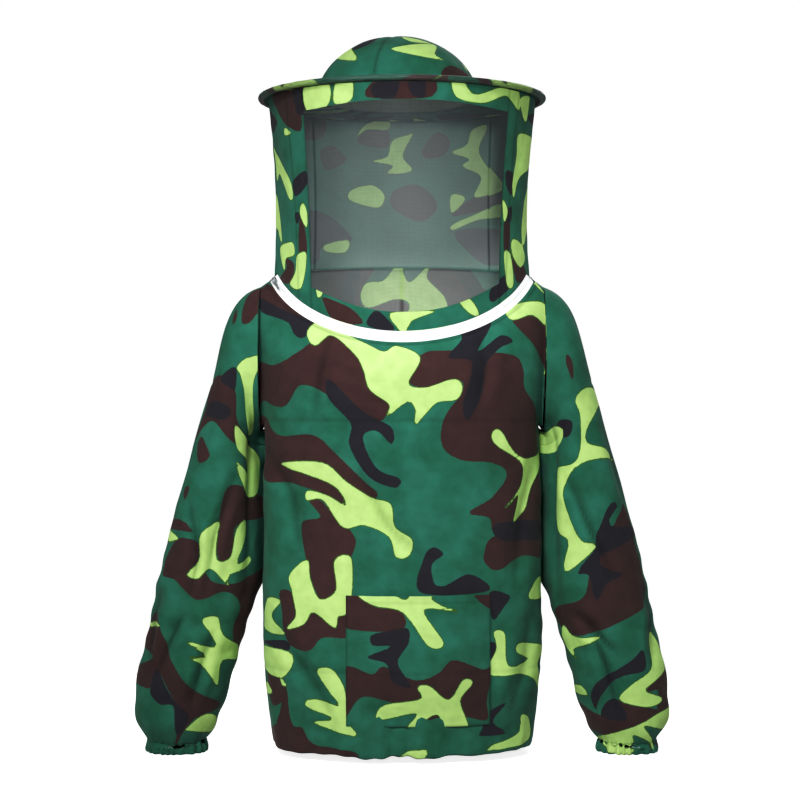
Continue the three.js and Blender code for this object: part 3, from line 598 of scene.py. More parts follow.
def onto_cloth(outlines, cloth, inside=False):
    """The outlines drawn from the front, in the cloth's own coordinates, where it faces the camera."""
    view = seen(cloth.points)
    s, t = cloth.s, cloth.t
    hidden = ((cloth.normal[..., 1] > 0.05) != inside) | ~cloth.drawn
    far = np.where(hidden, 1e6, 0).ravel()
    flat = view.reshape(-1, 2)
    fields = (view[..., 0], view[..., 1], s, t)
    slopes = [np.gradient(field, axis=axis) for field in fields for axis in (0, 1)]
    low, high = flat[far == 0].min(0) - 3, flat[far == 0].max(0) + 3
    found = []
    for outline in outlines:
        points = np.asarray(outline, float)
        if (points.max(0) < low).any() or (points.min(0) > high).any():
            continue
        distance = ((flat[:, None] - points[None]) ** 2).sum(2) + far[:, None]
        i, j = np.unravel_index(distance.argmin(0), s.shape)
        xr, xc, zr, zc, sr, sc, tr, tc = (slope[i, j] for slope in slopes)
        dx, dz = (points - view[i, j]).T
        size = xr * zc - xc * zr
        size = np.where(np.abs(size) < 1, np.where(size < 0, -1, 1), size)
        rows = np.clip((dx * zc - dz * xc) / size, -SPILL, SPILL)
        columns = np.clip((dz * xr - dx * zr) / size, -SPILL, SPILL)
        found.append(np.stack([s[i, j] + rows * sr + columns * sc, t[i, j] + rows * tr + columns * tc], 1))
    return found


EDGE_REACH = 8.0  # distances from a patch's edge are followed this far


def inside_distance(outline, s, t):
    """Distance in from an outline's edge, negative outside it."""
    result = np.full(s.shape, -EDGE_REACH)
    low, high = outline.min(0) - EDGE_REACH, outline.max(0) + EDGE_REACH
    near = (s > low[0]) & (s < high[0]) & (t > low[1]) & (t < high[1])
    if not near.any():
        return result
    point = np.stack([s[near], t[near]], 1)
    start, end = outline, np.roll(outline, -1, 0)
    along = end - start
    length2 = (along**2).sum(1) + 1e-9
    best = np.full(len(point), EDGE_REACH**2)
    crossings = np.zeros(len(point), int)
    for (ax, ay), by, (ux, uy), size in zip(start, end[:, 1], along, length2):
        px, py = point[:, 0] - ax, point[:, 1] - ay
        share = np.clip((px * ux + py * uy) / size, 0, 1)
        best = np.minimum(best, (px - share * ux) ** 2 + (py - share * uy) ** 2)
        if ay != by:
            level = (point[:, 1] > ay) != (point[:, 1] > by)
            crossings += level & (px < py * ux / uy)
    distance = np.sqrt(best)
    result[near] = np.where(crossings % 2 == 1, distance, -distance)
    return result


COLOURS = ("brown", "black", "lime")


def print_of(patches, cloth, inside=False):
    """A print drawn from the front, as smooth outlines in the cloth's coordinates."""
    return {
        colour: [smooth_outline(o) for o in onto_cloth(patches.get(colour, []), cloth, inside)]
        for colour in COLOURS
    }


def shifted(prints, across, down, low, high):
    """The patches that lie between two heights of a print, mirrored and moved along the bolt."""
    return {
        colour: [o * [-1, 1] + [across, down] for o in outlines if low < o[:, 1].mean() < high]
        for colour, outlines in prints.items()
    }


def paint(prints, s, t):
    """How far each point is inside the nearest patch of each colour."""
    result = {}
    for colour in COLOURS:
        fields = [inside_distance(outline, s, t) for outline in prints[colour]]
        result[colour] = np.maximum.reduce(fields) if fields else np.full(s.shape, -EDGE_REACH)
    return result


def only_where(paints, allowance):
    """The paint, kept to where the allowance is positive."""
    return {colour: np.minimum(field, allowance) for colour, field in paints.items()}


def together(first, second):
    return {colour: np.maximum(first[colour], second[colour]) for colour in COLOURS}


# ---------- meshes ----------


def grid_faces(rows, columns, closed, start=0, turned=False):
    span = columns if closed else columns - 1
    j, i = grid(np.arange(rows - 1), np.arange(span))
    a = start + j * columns + i
    b = start + j * columns + (i + 1) % columns
    quads = np.stack([a, b, b + columns, a + columns], -1).reshape(-1, 4)
    return quads[:, ::-1] if turned else quads


def rim_strip(a, b, count, turned):
    """Faces between an edge of one layer and the same edge of the other."""
    first, second = (a, b) if turned else (b, a)
    return np.stack([first, second, second + count, first + count], -1)


def rim_faces(rows, columns, closed, count):
    """Faces that join the two layers of a cloth round its edges."""
    loops = []
    span = columns if closed else columns - 1
    i = np.arange(span)
    for row, turned in ((0, False), (rows - 1, True)):
        a, b = row * columns + i, row * columns + (i + 1) % columns
        loops.append(rim_strip(a, b, count, turned))
    if not closed:
        j = np.arange(rows - 1)
        for column, turned in ((0, False), (columns - 1, True)):
            a, b = j * columns + column, (j + 1) * columns + column
            loops.append(rim_strip(a, b, count, not turned))
    return np.concatenate(loops)


def mesh_object(name, points, faces, fields=None, normals=None):
    mesh = bpy.data.meshes.new(name)
    mesh.from_pydata((np.asarray(points) * MM).tolist(), [], np.asarray(faces).tolist())
    for key, values in (fields or {}).items():
        field = mesh.attributes.new(key, "FLOAT", "POINT")
        field.data.foreach_set("value", values.astype(np.float32).ravel())
    mesh.shade_smooth()
    if normals is not None:
        mesh.normals_split_custom_set_from_vertices(normals.tolist())
    piece = bpy.data.objects.new(name, mesh)
    bpy.context.scene.collection.objects.link(piece)
    return piece


WHOLE = slice(None)


def cloth_object(name, cloth, thickness=CLOTH, rows=WHOLE, columns=WHOLE):
    """A mesh of all or part of a cloth: its outer layer, its lining side, and the edges that join them."""
    outer = cloth.shaped()[rows, columns]
    normal = cloth.normal[rows, columns]
    high, wide = outer.shape[:2]
    closed = cloth.closed and wide == cloth.points.shape[1]
    layers = [outer.reshape(-1, 3)]
    faces = [grid_faces(high, wide, closed)]
    if thickness:
        layers.append((outer - normal * thickness).reshape(-1, 3))
        count = high * wide
        faces.append(grid_faces(high, wide, closed, count, turned=True))
        faces.append(rim_faces(high, wide, closed, count))
    faces = np.concatenate(faces)
    corners = outer.reshape(-1, 3)[grid_faces(high, wide, closed)]
    crossed = np.cross(corners[:, 2] - corners[:, 0], corners[:, 3] - corners[:, 1])
    middles = normal.reshape(-1, 3)[grid_faces(high, wide, closed)[:, 0]]
    if (crossed * middles).sum() < 0:
        faces = faces[:, ::-1]
    fields = {}
    for colour in COLOURS:
        if colour in cloth.paint:
            front = cloth.paint[colour][rows, columns].ravel()
            back = cloth.lining.get(colour, cloth.paint[colour])[rows, columns].ravel()
            fields[colour] = np.concatenate([front, back]) if thickness else front
    within = np.ones((high, wide))
    within[[0, -1]] = 0
    if not closed:
        within[:, [0, -1]] = 0
    fields["lining"] = np.concatenate([0 * within.ravel(), within.ravel()]) if thickness else 0 * within
    fields["crease_and_painted_shade"] = np.tile(cloth.crease_and_painted_shade[rows, columns].ravel(), len(layers))
    fields["across"] = np.tile(cloth.s[rows, columns].ravel(), len(layers))
    fields["along"] = np.tile(cloth.t[rows, columns].ravel(), len(layers))
    shading = cloth.shaped_normals()[rows, columns].reshape(-1, 3)
    shading = np.concatenate([shading, -shading]) if thickness else shading
    return mesh_object(name, np.concatenate(layers), faces, fields, shading)


def flat_size(cloth, rows=WHOLE, columns=WHOLE):
    """Width, length and area of the cut piece, in metres: the lengths of its cloth when laid flat."""
    p = cloth.shaped()[rows, columns] * MM
    if cloth.closed:
        p = np.concatenate([p, p[:, :1]], 1)
    width = np.linalg.norm(np.diff(p, axis=1), axis=2).sum(1).max()
    length = np.linalg.norm(np.diff(p, axis=0), axis=2).sum(0).max()
    diagonals = np.cross(p[1:, 1:] - p[:-1, :-1], p[1:, :-1] - p[:-1, 1:])
    area = np.linalg.norm(diagonals, axis=2).sum() / 2
    return (round(float(width), 3), round(float(length), 3)), float(area)


def dress(
    piece, cloth, material, body=None, replaces=(), rows=WHOLE, columns=WHOLE
):
    """Finish and body of a piece of cloth; its flat size is worked out and not used."""
    piece.data.materials.append(material)
    if replaces:
        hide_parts(*replaces)
    if body:
        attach(piece, body)
    flat, area = flat_size(cloth, rows, columns)


# ---------- materials ----------


def node(tree, kind, inputs=None, **settings):
    made = tree.nodes.new(kind)
    for key, value in settings.items():
        setattr(made, key, value)
    for key, value in (inputs or {}).items():
        if isinstance(value, bpy.types.NodeSocket):
            tree.links.new(value, made.inputs[key])
        else:
            made.inputs[key].default_value = value
    return made


def new_material(slot):
    material = bpy.data.materials.new(slot)
    material["slot"] = slot
    material.use_nodes = True
    tree = material.node_tree
    return material, tree, tree.nodes["Principled BSDF"]


def srgb(code):
    """Linear colour from a hexadecimal sRGB one."""
    parts = [int(code[i : i + 2], 16) / 255 for i in (0, 2, 4)]
    return [p / 12.92 if p < 0.04045 else ((p + 0.055) / 1.055) ** 2.4 for p in parts] + [1]


def noise(tree, size_mm, detail=2):
    place = node(tree, "ShaderNodeTexCoord").outputs["Object"]
    inputs = {"Vector": place, "Scale": 1 / (size_mm * MM), "Detail": detail}
    return node(tree, "ShaderNodeTexNoise", inputs).outputs["Fac"]


def number(tree, operation, a, b=0.0):
    return node(tree, "ShaderNodeMath", {0: a, 1: b}, operation=operation).outputs[0]


def ramp(tree, value, low, high, start=0.0, end=1.0):
    inputs = {"Value": value, "From Min": low, "From Max": high, "To Min": start, "To Max": end}
    return node(tree, "ShaderNodeMapRange", inputs).outputs["Result"]


def blend_colours(tree, a, b, share):
    mixed = node(tree, "ShaderNodeMix", data_type="RGBA")
    for socket, value in ((mixed.inputs[6], a), (mixed.inputs[7], b), (mixed.inputs[0], share)):
        if isinstance(value, bpy.types.NodeSocket):
            tree.links.new(value, socket)
        else:
            socket.default_value = value
    return mixed.outputs[2]


def attribute(tree, name):
    return node(tree, "ShaderNodeAttribute", attribute_name=name).outputs["Fac"]


def bump(tree, height, strength, depth_mm, over=None):
    """Surface relief, on top of other relief where that is given."""
    inputs = {"Height": height, "Strength": strength, "Distance": depth_mm * MM}
    if over:
        inputs["Normal"] = over
    return node(tree, "ShaderNodeBump", inputs).outputs["Normal"]


THREAD_PITCH = 1.1
THREAD_DEPTH = 0.25
THREAD_UNEVENNESS = 1.5  # size of the lumps in the threads
WRINKLE_SIZE = 24
WRINKLE_DEPTH = 5


def crossed_waves(tree, turns):
    """Waves across the cloth times waves along it, from the cloth's own coordinates."""
    sines = []
    for axis in ("across", "along"):
        angle = number(tree, "MULTIPLY", attribute(tree, axis), turns)
        sines.append(number(tree, "SINE", angle))
    return number(tree, "MULTIPLY", *sines)


def weave_bump(tree, shader):
    """Fine crossed threads over slight wrinkles."""
    threads = crossed_waves(tree, 2 * math.pi / THREAD_PITCH)
    height = number(tree, "ADD", threads, noise(tree, THREAD_UNEVENNESS))
    wrinkles = bump(tree, noise(tree, WRINKLE_SIZE, 3), 0.5, WRINKLE_DEPTH)
    tree.links.new(bump(tree, height, 0.35, THREAD_DEPTH, over=wrinkles), shader.inputs["Normal"])


GREEN = srgb("2c6656")
DEEP_GREEN = srgb("225a49")
BROWN = srgb("3d2a29")
BLACK = srgb("25242c")
LIME = srgb("aed67c")
OLIVE = srgb("3c5a2c")
PALE_REVERSE_AND_PAINTED_LIGHT = srgb("ced6d2")


def camouflage_material(slot, roughness):
    """Printed cotton: green ground, then brown, black and lime patches with dark outlines."""
    material, tree, shader = new_material(slot)
    wobble = number(tree, "MULTIPLY", number(tree, "SUBTRACT", noise(tree, 4), 0.5), 1.6)
    colour = blend_colours(tree, GREEN, DEEP_GREEN, ramp(tree, noise(tree, 45), 0.35, 0.65))
    for name, ink in (("brown", BROWN), ("black", BLACK)):
        edge = number(tree, "ADD", attribute(tree, name), wobble)
        colour = blend_colours(tree, colour, ink, ramp(tree, edge, -0.4, 0.4))
    edge = number(tree, "ADD", attribute(tree, "lime"), wobble)
    colour = blend_colours(tree, colour, OLIVE, ramp(tree, edge, -1.7, -0.9))
    colour = blend_colours(tree, colour, LIME, ramp(tree, edge, -0.3, 0.5))
    tone = ramp(tree, noise(tree, 18, 4), 0.3, 0.7, 0.86, 1.06)
    # Painted shade: the colour is darkened where the crease_and_painted_shade attribute marks folds, seams,
    # stitching and undersides.
    shade = ramp(tree, attribute(tree, "crease_and_painted_shade"), 0, 1, 1, 0.3)
    value = number(tree, "MULTIPLY", tone, shade)
    toned = node(tree, "ShaderNodeHueSaturation", {"Color": colour, "Value": value}).outputs["Color"]
    # The lining side is mixed toward pale grey: the print's paler reverse side, made paler still as painted
    # light for the hood's shaded inside.
    lining = number(tree, "MULTIPLY", attribute(tree, "lining"), 0.24)
    tree.links.new(blend_colours(tree, toned, PALE_REVERSE_AND_PAINTED_LIGHT, lining), shader.inputs["Base Color"])
    shader.inputs["Roughness"].default_value = roughness
    shader.inputs["Specular IOR Level"].default_value = 1 - roughness
    shader.inputs["Sheen Weight"].default_value = 0.03
    weave_bump(tree, shader)
    return material


NET_THREADS = 1.9  # radians of the net's pattern for each millimetre
NET_COVER = (0.42, 0.1)  # how much a thread and a hole hide of what is behind


def netting_material():
    """Fine grey net that can be seen through."""
    material, tree, shader = new_material("netting")
    openness = number(tree, "ABSOLUTE", crossed_waves(tree, NET_THREADS))
    cover = ramp(tree, openness, 0.0, 0.9, *NET_COVER)
    tint = ramp(tree, noise(tree, 30), 0.3, 0.7, 0.9, 1.1)
    grey = node(tree, "ShaderNodeHueSaturation", {"Color": srgb("596164"), "Value": tint}).outputs["Color"]
    tree.links.new(grey, shader.inputs["Base Color"])
    tree.links.new(cover, shader.inputs["Alpha"])
    shader.inputs["Roughness"].default_value = 0.6
    return material


def plain_material(slot, code, roughness, metallic=0.0, grain_mm=1.2, depth=0.2, tone=(0.92, 1.05)):
    """A plain finish with a little unevenness of tone and surface."""
    material, tree, shader = new_material(slot)
    value = ramp(tree, noise(tree, 12, 4), 0.3, 0.7, *tone)
    colour = node(tree, "ShaderNodeHueSaturation", {"Color": srgb(code), "Value": value}).outputs["Color"]
    tree.links.new(colour, shader.inputs["Base Color"])
    rough = ramp(tree, noise(tree, 3), 0.3, 0.7, roughness - 0.06, roughness + 0.06)
    tree.links.new(rough, shader.inputs["Roughness"])
    shader.inputs["Metallic"].default_value = metallic
    tree.links.new(bump(tree, noise(tree, grain_mm, 3), 0.3, depth), shader.inputs["Normal"])
    return material


camouflage = camouflage_material("camouflage_cloth", 0.85)
binding_cloth = camouflage_material("binding_cloth", 0.5)
netting = netting_material()
zip_cloth = plain_material("zip_tape", "f6f7f9", 0.7, tone=(0.97, 1.02))
zip_nylon = plain_material("zip_coil", "fafbfc", 0.5, grain_mm=2, tone=(0.97, 1.02))
zip_metal = plain_material("zip_metal", "d5d8db", 0.3, metallic=1.0, grain_mm=2, depth=0.05)
elastic = plain_material("elastic", "dedcd4", 0.9)
stiffener = plain_material("stiffener", "d8d4c8", 0.95)
steel_wire = plain_material("steel_wire", "8f9296", 0.35, metallic=1.0, depth=0.05)
sweatband_cloth = plain_material("sweatband_cloth", "cfcabb", 0.9)


# ---------- jacket body ----------

PANEL_COLUMNS = 141
PANEL_ROWS_ABOVE = 58
PANEL_ROWS_BELOW = 100
CREASE_CHEST_Z = -190
CREASE_POCKET_Z = -527
GATHERS = 10  # how many big puffs the hem's elastic makes
FINE_GATHERS = 26
HEM_DEPTH = 8.0  # how far the biggest puffs stand out
FOLD_DEPTH = 4.6
FOLD_WIDTH = 12
TORSO_FOLDS = [  # paths of (x, z) as seen from the front
    [(-188, -222), (-150, -290), (-136, -372)],
    [(190, -222), (163, -310), (152, -420)],
    [(-96, -70), (-112, -128), (-118, -190)],
    [(104, -70), (112, -120), (100, -176)],
    [(-176, -470), (-120, -540), (-84, -604)],
    [(176, -452), (166, -530), (140, -596)],
    [(-60, -250), (-20, -330), (30, -372)],
]
BACK_FOLDS = [
    [(-180, -225), (-120, -300), (-60, -330)],
    [(180, -225), (130, -310), (70, -350)],
    [(-150, -440), (-110, -540), (-90, -600)],
    [(20, -430), (30, -520), (10, -600)],
]


def hem_gathers(points):
    """Uneven gathers round the hem, from 0 in the valleys to about 1 on the puffs."""
    turn = np.arctan2(points[..., 0], -points[..., 1])
    around = (np.cos(turn) * 180, np.sin(turn) * 180)
    drift = 4.5 * waves(*around, 31, 210, 6)
    strength = 0.55 + 0.75 * hump(turn, 0, 0.5) + 0.5 * waves(*around, 32, 120, 5)
    wave = np.sin(GATHERS * turn + drift) + 0.4 * np.sin(FINE_GATHERS * turn - 1.7 * drift)
    return np.maximum(0.45 + 0.4 * wave, 0) * strength


def body_cloth(face):
    above = np.linspace(0, CHEST_SHARE, PANEL_ROWS_ABOVE)
    below = np.linspace(CHEST_SHARE, 1, PANEL_ROWS_BELOW)[1:]
    down, across = grid(np.concatenate([above, below]), np.linspace(-1, 1, PANEL_COLUMNS))
    points = body_panel(face, across, down)
    outward = lambda p: vec(p[..., 0] * 0.4, face * 120, 60 * ease(-120, 20, p[..., 2]))
    cloth = Cloth(points, outward)
    s, t, z = cloth.s, cloth.t, points[..., 2]
    near_edges = ease(0, 0.06, 1 - np.abs(across)) * ease(0, 14, t)
    gathered = ease(-515, HEM_TOP_Z, z) ** 2
    ironed = hump(z, CREASE_CHEST_Z, 3) + hump(z, CREASE_POCKET_Z, 3)
    slack = 2.4 * waves(s, t, 11 + face, 90) + 1.2 * waves(s, t, 21 + face, 38)
    paths = TORSO_FOLDS if face < 0 else BACK_FOLDS
    folds, line = creases(points[..., [0, 2]], paths, FOLD_DEPTH, FOLD_WIDTH)
    # Painted shade: fold valleys, the ironed creases and the seam below the neckline are darkened in colour.
    cloth.crease_and_painted_shade = np.maximum(0.55 * line, 0.22 * ironed)
    cloth.crease_and_painted_shade = np.maximum(cloth.crease_and_painted_shade, 0.6 * hump(t, 5, 2.2) * (np.abs(across) < SHOULDER_SHARE))
    cloth.lift = near_edges * ((slack + folds) * (1 - gathered) - 0.7 * ironed)
    push = gathered * HEM_DEPTH * hem_gathers(points)
    cloth.points = points + awayness(points, vec(0, 0, 0)) * push[..., None]
    return cloth


front = body_cloth(-1)
back = body_cloth(1)
body_print = print_of(TORSO, front)
front.paint = paint(body_print, front.s, front.t)
back_length = back.t.max()
back.paint = paint(body_print, back.s, back_length - back.t)
bolt_end = shifted(body_print, 20, 500, 40, 260)
back.paint = together(back.paint, paint(bolt_end, back.s, back_length - back.t))

# Where the jacket's cloth would turn from following the body to following a raised arm; nothing in the script
# reads them.
ARM_ABOVE = (190, 0, -0.215)  # x and z where the band starts, and how fast it shifts with height
ARM_BELOW = (147, CHEST_Z, 0.42)


def follow_arm(piece):
    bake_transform(piece)


middle_column = PANEL_COLUMNS // 2
chest_row = PANEL_ROWS_ABOVE - 1
for label, cloth in (("front", front), ("back", back)):
    for side in (-1, 1):
        columns = slice(middle_column, None) if side > 0 else slice(0, middle_column + 1)
        for level, rows, start in (
            ("yoke", slice(0, chest_row + 1), ARM_ABOVE),
            ("skirt", slice(chest_row, None), ARM_BELOW),
        ):
            name = f"{label}_{level}_{'left' if side > 0 else 'right'}"
            piece = cloth_object(name, cloth, rows=rows, columns=columns)
            dress(piece, cloth, camouflage, replaces=[f"{label}_panel"],
                  rows=rows, columns=columns)
            follow_arm(piece)


OUTER_WALL_ROWS = 13
CHANNEL_ROOM = 5  # between the two walls of a casing
CASING_CLOTH = 0.7


def ring_cloth(outline, top, bottom, room, count, gathers, depth, drop):
    """A gathered channel round an edge: down the outside, round the foot and up the inside."""
    arc = np.linspace(0, np.pi, 9)
    inset = np.concatenate([np.zeros(8), room / 2 * (1 - np.cos(arc)), np.full(8, room)])
    foot = bottom + room / 2
    wall = np.linspace(top, foot, 9)
    z = np.concatenate([wall[:-1], foot - room / 2 * np.sin(arc), np.linspace(foot, top, 9)[1:]])
    row, angle = grid(np.arange(len(z)), np.linspace(0, 2 * np.pi, count, endpoint=False))
    points = outline(angle, inset[row], z[row])
    centre = points.mean((0, 1))
    is_inner = np.where(row >= OUTER_WALL_ROWS, -1.0, 1.0)
    outward = lambda p: vec((p[..., 0] - centre[0]) * is_inner, (p[..., 1] - centre[1]) * is_inner, 0)
    cloth = Cloth(points, outward, closed=True)
    wave = gathers(points - centre * [1, 1, 0] * (abs(centre[0]) > 50))
    outer = 1 - ease(6, 16, row)
    low = ease(2, 9, row) * ease(0, 7, len(z) - 1 - row)
    push = depth * wave * outer + 2.2 * ease(0, 6, row) * ease(0, 6, OUTER_WALL_ROWS - row)
    cloth.points = points + awayness(points, centre) * push[..., None] + vec(0, 0, drop * low * wave)
    return cloth


def hem_outline(angle, inset, z):
    return torso(np.degrees(angle) - 180, z, inset)


hem = ring_cloth(hem_outline, HEM_TOP_Z + 0.35, HEM_BOTTOM_Z, CHANNEL_ROOM, 520, hem_gathers, HEM_DEPTH, -5.0)


def ring_paint(ring, patches, bolt, shift):
    """A ring's print: what is seen from the front on its outer wall, and the plain bolt elsewhere."""
    rows = np.arange(len(ring.points))[:, None]
    ring.drawn = np.repeat(rows < OUTER_WALL_ROWS, ring.points.shape[1], 1)
    girth = girth_of(ring)[:, None]
    behind = np.maximum((rows - OUTER_WALL_ROWS) * 3.0, np.abs(ring.s) - girth / 4 - 8)
    seen_paint = paint(print_of(patches, ring), ring.s, ring.t)
    other = paint(bolt, np.sign(ring.s) * (girth / 2 - np.abs(ring.s)), ring.t + shift)
    return together(only_where(seen_paint, 4 - behind), only_where(other, behind))


def girth_of(cloth):
    return cloth.s.max(1) - cloth.s.min(1)


hem.paint = ring_paint(hem, TORSO, body_print, 300)
piece = cloth_object("hem_casing_cloth", hem, thickness=CASING_CLOTH)
dress(piece, hem, camouflage, "jacket", ["hem_casing"])


# ---------- pocket ----------

POCKET_X = (-75, 118)
POCKET_Z = (-600, -423)
POCKET_HEM = 10


def front_y(x, z):
    half_width, depth = through(TORSO_RINGS, z, 1), through(TORSO_RINGS, z, 2)
    inside = 1 - np.abs(x / half_width) ** TORSO_SQUARENESS
    return -depth * inside ** (1 / TORSO_SQUARENESS) - 0.3


def pocket_cloth():
    z, u = grid(np.linspace(POCKET_Z[1], POCKET_Z[0], 60), np.linspace(0, 1, 66))
    x = lerp(*POCKET_X, u)
    from_sides = np.minimum(ease(0, 0.24, u), ease(0, 0.24, 1 - u))
    room = 9 * from_sides * ease(POCKET_Z[0], POCKET_Z[0] + 70, z)
    cloth = Cloth(vec(x, front_y(x, z) - 2.4 - room, z), lambda p: vec(0, -1, p[..., 2] * 0))
    flat_edge = np.exp(-(((z - POCKET_Z[1] + POCKET_HEM) / 1.2) ** 2))
    crease_and_painted_shade = hump(z, CREASE_POCKET_Z, 2.5)
    inner = ease(0, 0.08, u) * ease(0, 0.08, 1 - u)
    cloth.lift = inner * (0.8 * waves(cloth.s, cloth.t, 51, 60) - 0.6 * crease_and_painted_shade - 0.5 * flat_edge) + 1.6
    in_from_edge = np.minimum(np.minimum(x - POCKET_X[0], POCKET_X[1] - x), z - POCKET_Z[0])
    # Painted shade along the pocket's stitched edges, its hem's fold and the ironed crease.
    stitched = hump(in_from_edge, 0, 2)
    cloth.crease_and_painted_shade = np.maximum.reduce([0.6 * stitched, 0.4 * flat_edge, 0.2 * crease_and_painted_shade])
    return cloth


pocket = pocket_cloth()
pocket.paint = paint(print_of(POCKET, pocket), pocket.s, pocket.t)
pocket.lining = paint(body_print, pocket.s, pocket.t)
piece = cloth_object("pocket_cloth", pocket)
dress(piece, pocket, camouflage, "jacket", ["pocket_panel", "pocket_hem"])


# ---------- arms ----------

SLEEVE_STATIONS = [  # outer x, outer z, inner x, inner z, half depth
    [265, -135, 204, -224, 64],
    [302, -262, 202, -287, 62],
    [335, -385, 204, -417, 63],
    [357, -490, 230, -520, 61],
    [371, -560, 249, -587, 58],
    [372, -605, 262, -618, 53],
    [355, -634, 277, -636, 42],
]
CUFF_X = 315
CUFF_HALF = (39, 36)
CUFF_Z = (-637, -652)


def sleeve_ring(side, station, angle):
    rows = [[-i, *row] for i, row in enumerate(SLEEVE_STATIONS)]
    ox, oz, ix, iz, depth = (through(rows, -station, column) for column in range(1, 6))
    share = (1 - np.cos(angle)) / 2
    return vec(lerp(ox, ix, share) * side, -np.sin(angle) * depth, lerp(oz, iz, share))


def cuff_outline(side):
    return lambda angle, inset, z: vec(
        (CUFF_X + (CUFF_HALF[0] - inset) * np.cos(angle)) * side,
        -np.sin(angle) * (CUFF_HALF[1] - inset),
        z,
    )


def shoulder_surface(side, angle, t):
    wrapped = np.mod(angle, 2 * np.pi)
    half = wrapped / np.pi
    share = np.where(half <= 1, half, 2 - half)
    face = np.where(half <= 1, -1.0, 1.0)
    low = torso(90.0 * side, CHEST_Z * 1.0)
    start = np.where((half <= 1)[..., None], armhole(side, -1, share), armhole(side, 1, share))
    start = mix(start, low, ease(0.9, 1, share)) + vec(0, face * 0.3, 0)
    end = sleeve_ring(side, np.zeros_like(angle), angle)
    reach = np.linalg.norm(end - start, axis=-1, keepdims=True) * 0.38
    slope = np.array([side, 0, -0.35]) / math.hypot(1, 0.35)
    return bezier(start, start + slope * reach, end + np.array([-0.26 * side, 0, 0.96]) * reach, end, t)


def sleeve_surface(side, angle, v):
    last = len(SLEEVE_STATIONS) - 1
    down = v * (last + 1)
    ring = sleeve_ring(side, np.minimum(down, last), angle)
    cuff = cuff_outline(side)(angle, 0, np.full_like(angle, CUFF_Z[0] + 4 * SEAM))
    return mix(ring, cuff, np.maximum(down - last, 0))


RIGHT_ARM_FOLDS = [  # paths of (x, z) as seen from the front
    [(-307, -462), (-320, -486), (-332, -516), (-345, -548)],
    [(-232, -262), (-262, -350), (-280, -440)],
    [(-300, -300), (-286, -380), (-300, -440)],
    [(-262, -480), (-282, -540), (-300, -600)],
    [(-338, -420), (-352, -480), (-352, -540)],
]
LEFT_ARM_FOLDS = [
    [(232, -450), (268, -484), (311, -525)],
    [(226, -262), (262, -340), (300, -410)],
    [(262, -470), (286, -540), (300, -600)],
    [(336, -400), (352, -470), (350, -540)],
    [(280, -180), (300, -250), (320, -320)],
]


CUFF_GATHERS = 22
CUFF_DEPTH = 3.6


def cuff_gathers(points):
    """Gathers round a cuff, from 0 in the valleys to about 1 on the puffs."""
    turn = np.arctan2(points[..., 0], -points[..., 1])
    around = (np.cos(turn) * 60, np.sin(turn) * 60)
    wave = np.sin(CUFF_GATHERS * turn + 3.4 * waves(*around, 61, 40, 5))
    return (0.5 + 0.45 * wave) * (1 + 0.5 * waves(*around, 62, 30, 4))


SHOULDER_ROWS = 30
SLEEVE_ROWS = 118
ARM_COLUMNS = 104


def arm_cloth(side):
    """Shoulder and sleeve as one grid; the columns start at the middle of the back of the arm."""
    turn = np.linspace(-np.pi / 2, 1.5 * np.pi, ARM_COLUMNS, endpoint=False)
    t, angle = grid(np.linspace(0, 0.99, SHOULDER_ROWS), turn)
    shoulder = shoulder_surface(side, angle, t)
    v, angle2 = grid(np.linspace(0.004, 1, SLEEVE_ROWS), turn)
    sleeve = sleeve_surface(side, angle2, v)
    points = np.concatenate([shoulder, sleeve])
    centre = lambda z: side * lerp(CUFF_X, ARMHOLE_X + 20, ease(-640, -60, z))
    outward = lambda p: vec(p[..., 0] - centre(p[..., 2]), p[..., 1], np.where(p[..., 2] > -130, 60, 0))
    cloth = Cloth(points, outward, closed=True)
    angle = np.concatenate([angle, angle2])
    share = np.concatenate([-0.3 * (1 - t), v])
    around = (np.cos(angle) * 60, np.sin(angle) * 60)
    gathered = ease(0.7, 0.97, share)
    cuff_middle = vec(CUFF_X * side, 0, 0)
    pitch_waves = cuff_gathers(points - cuff_middle)
    along = cloth.t
    twist = np.sin(2 * np.pi * (along / 62 + np.sin(angle - 0.6) * 0.9)) * hump(share, 0.62, 0.22)
    elbow = np.sin(2 * np.pi * (along / 40 - np.cos(angle) * 0.5)) * hump(share, 0.36, 0.1)
    slack = waves(around[0] * 1.3, around[1] * 1.3 + along, 71 + side, 70)
    free = ease(0, 12, along) * (1 - ease(0.94, 1, share))
    cloth.lift = free * (1.8 * slack + 1.5 * twist + 1.2 * elbow) + gathered * CUFF_DEPTH * pitch_waves
    round_arm = np.mod(angle, 2 * np.pi)
    behind_side = hump(round_arm, 1.17 * np.pi, 0.42)
    beside_body = ease(-470, -395, points[..., 2]) * ease(-186, -214, points[..., 2])
    cloth.lift += 18 * behind_side * beside_body
    under_arm = hump(round_arm, 1.04 * np.pi, 0.17)
    cloth.lift += 9 * under_arm * ease(-200, -212, points[..., 2]) * ease(-262, -234, points[..., 2])
    armpit = hump(round_arm, 0.84 * np.pi, 0.2)
    cloth.lift -= 6 * armpit * ease(-540, -330, points[..., 2]) * ease(-170, -230, points[..., 2])
    in_front = ease(-0.1, 0.3, -cloth.normal[..., 1])
    folds, line = creases(seen(points), RIGHT_ARM_FOLDS if side < 0 else LEFT_ARM_FOLDS, 5.0, 8)
    cloth.lift += folds * in_front * free
    # Painted shade in the fold valleys on the front of the sleeve.
    cloth.crease_and_painted_shade = 0.8 * line * in_front * free
    outer_side = (1 + np.cos(angle)) / 2
    over_cuff = hump(share, 0.962, 0.026) * (0.35 + 0.65 * outer_side)
    cloth.points = points + over_cuff[..., None] * (awayness(points, cuff_middle) * 3 - [0, 0, 11])
    cloth.lift -= hump(along, along[SHOULDER_ROWS], 2.5)
    return cloth


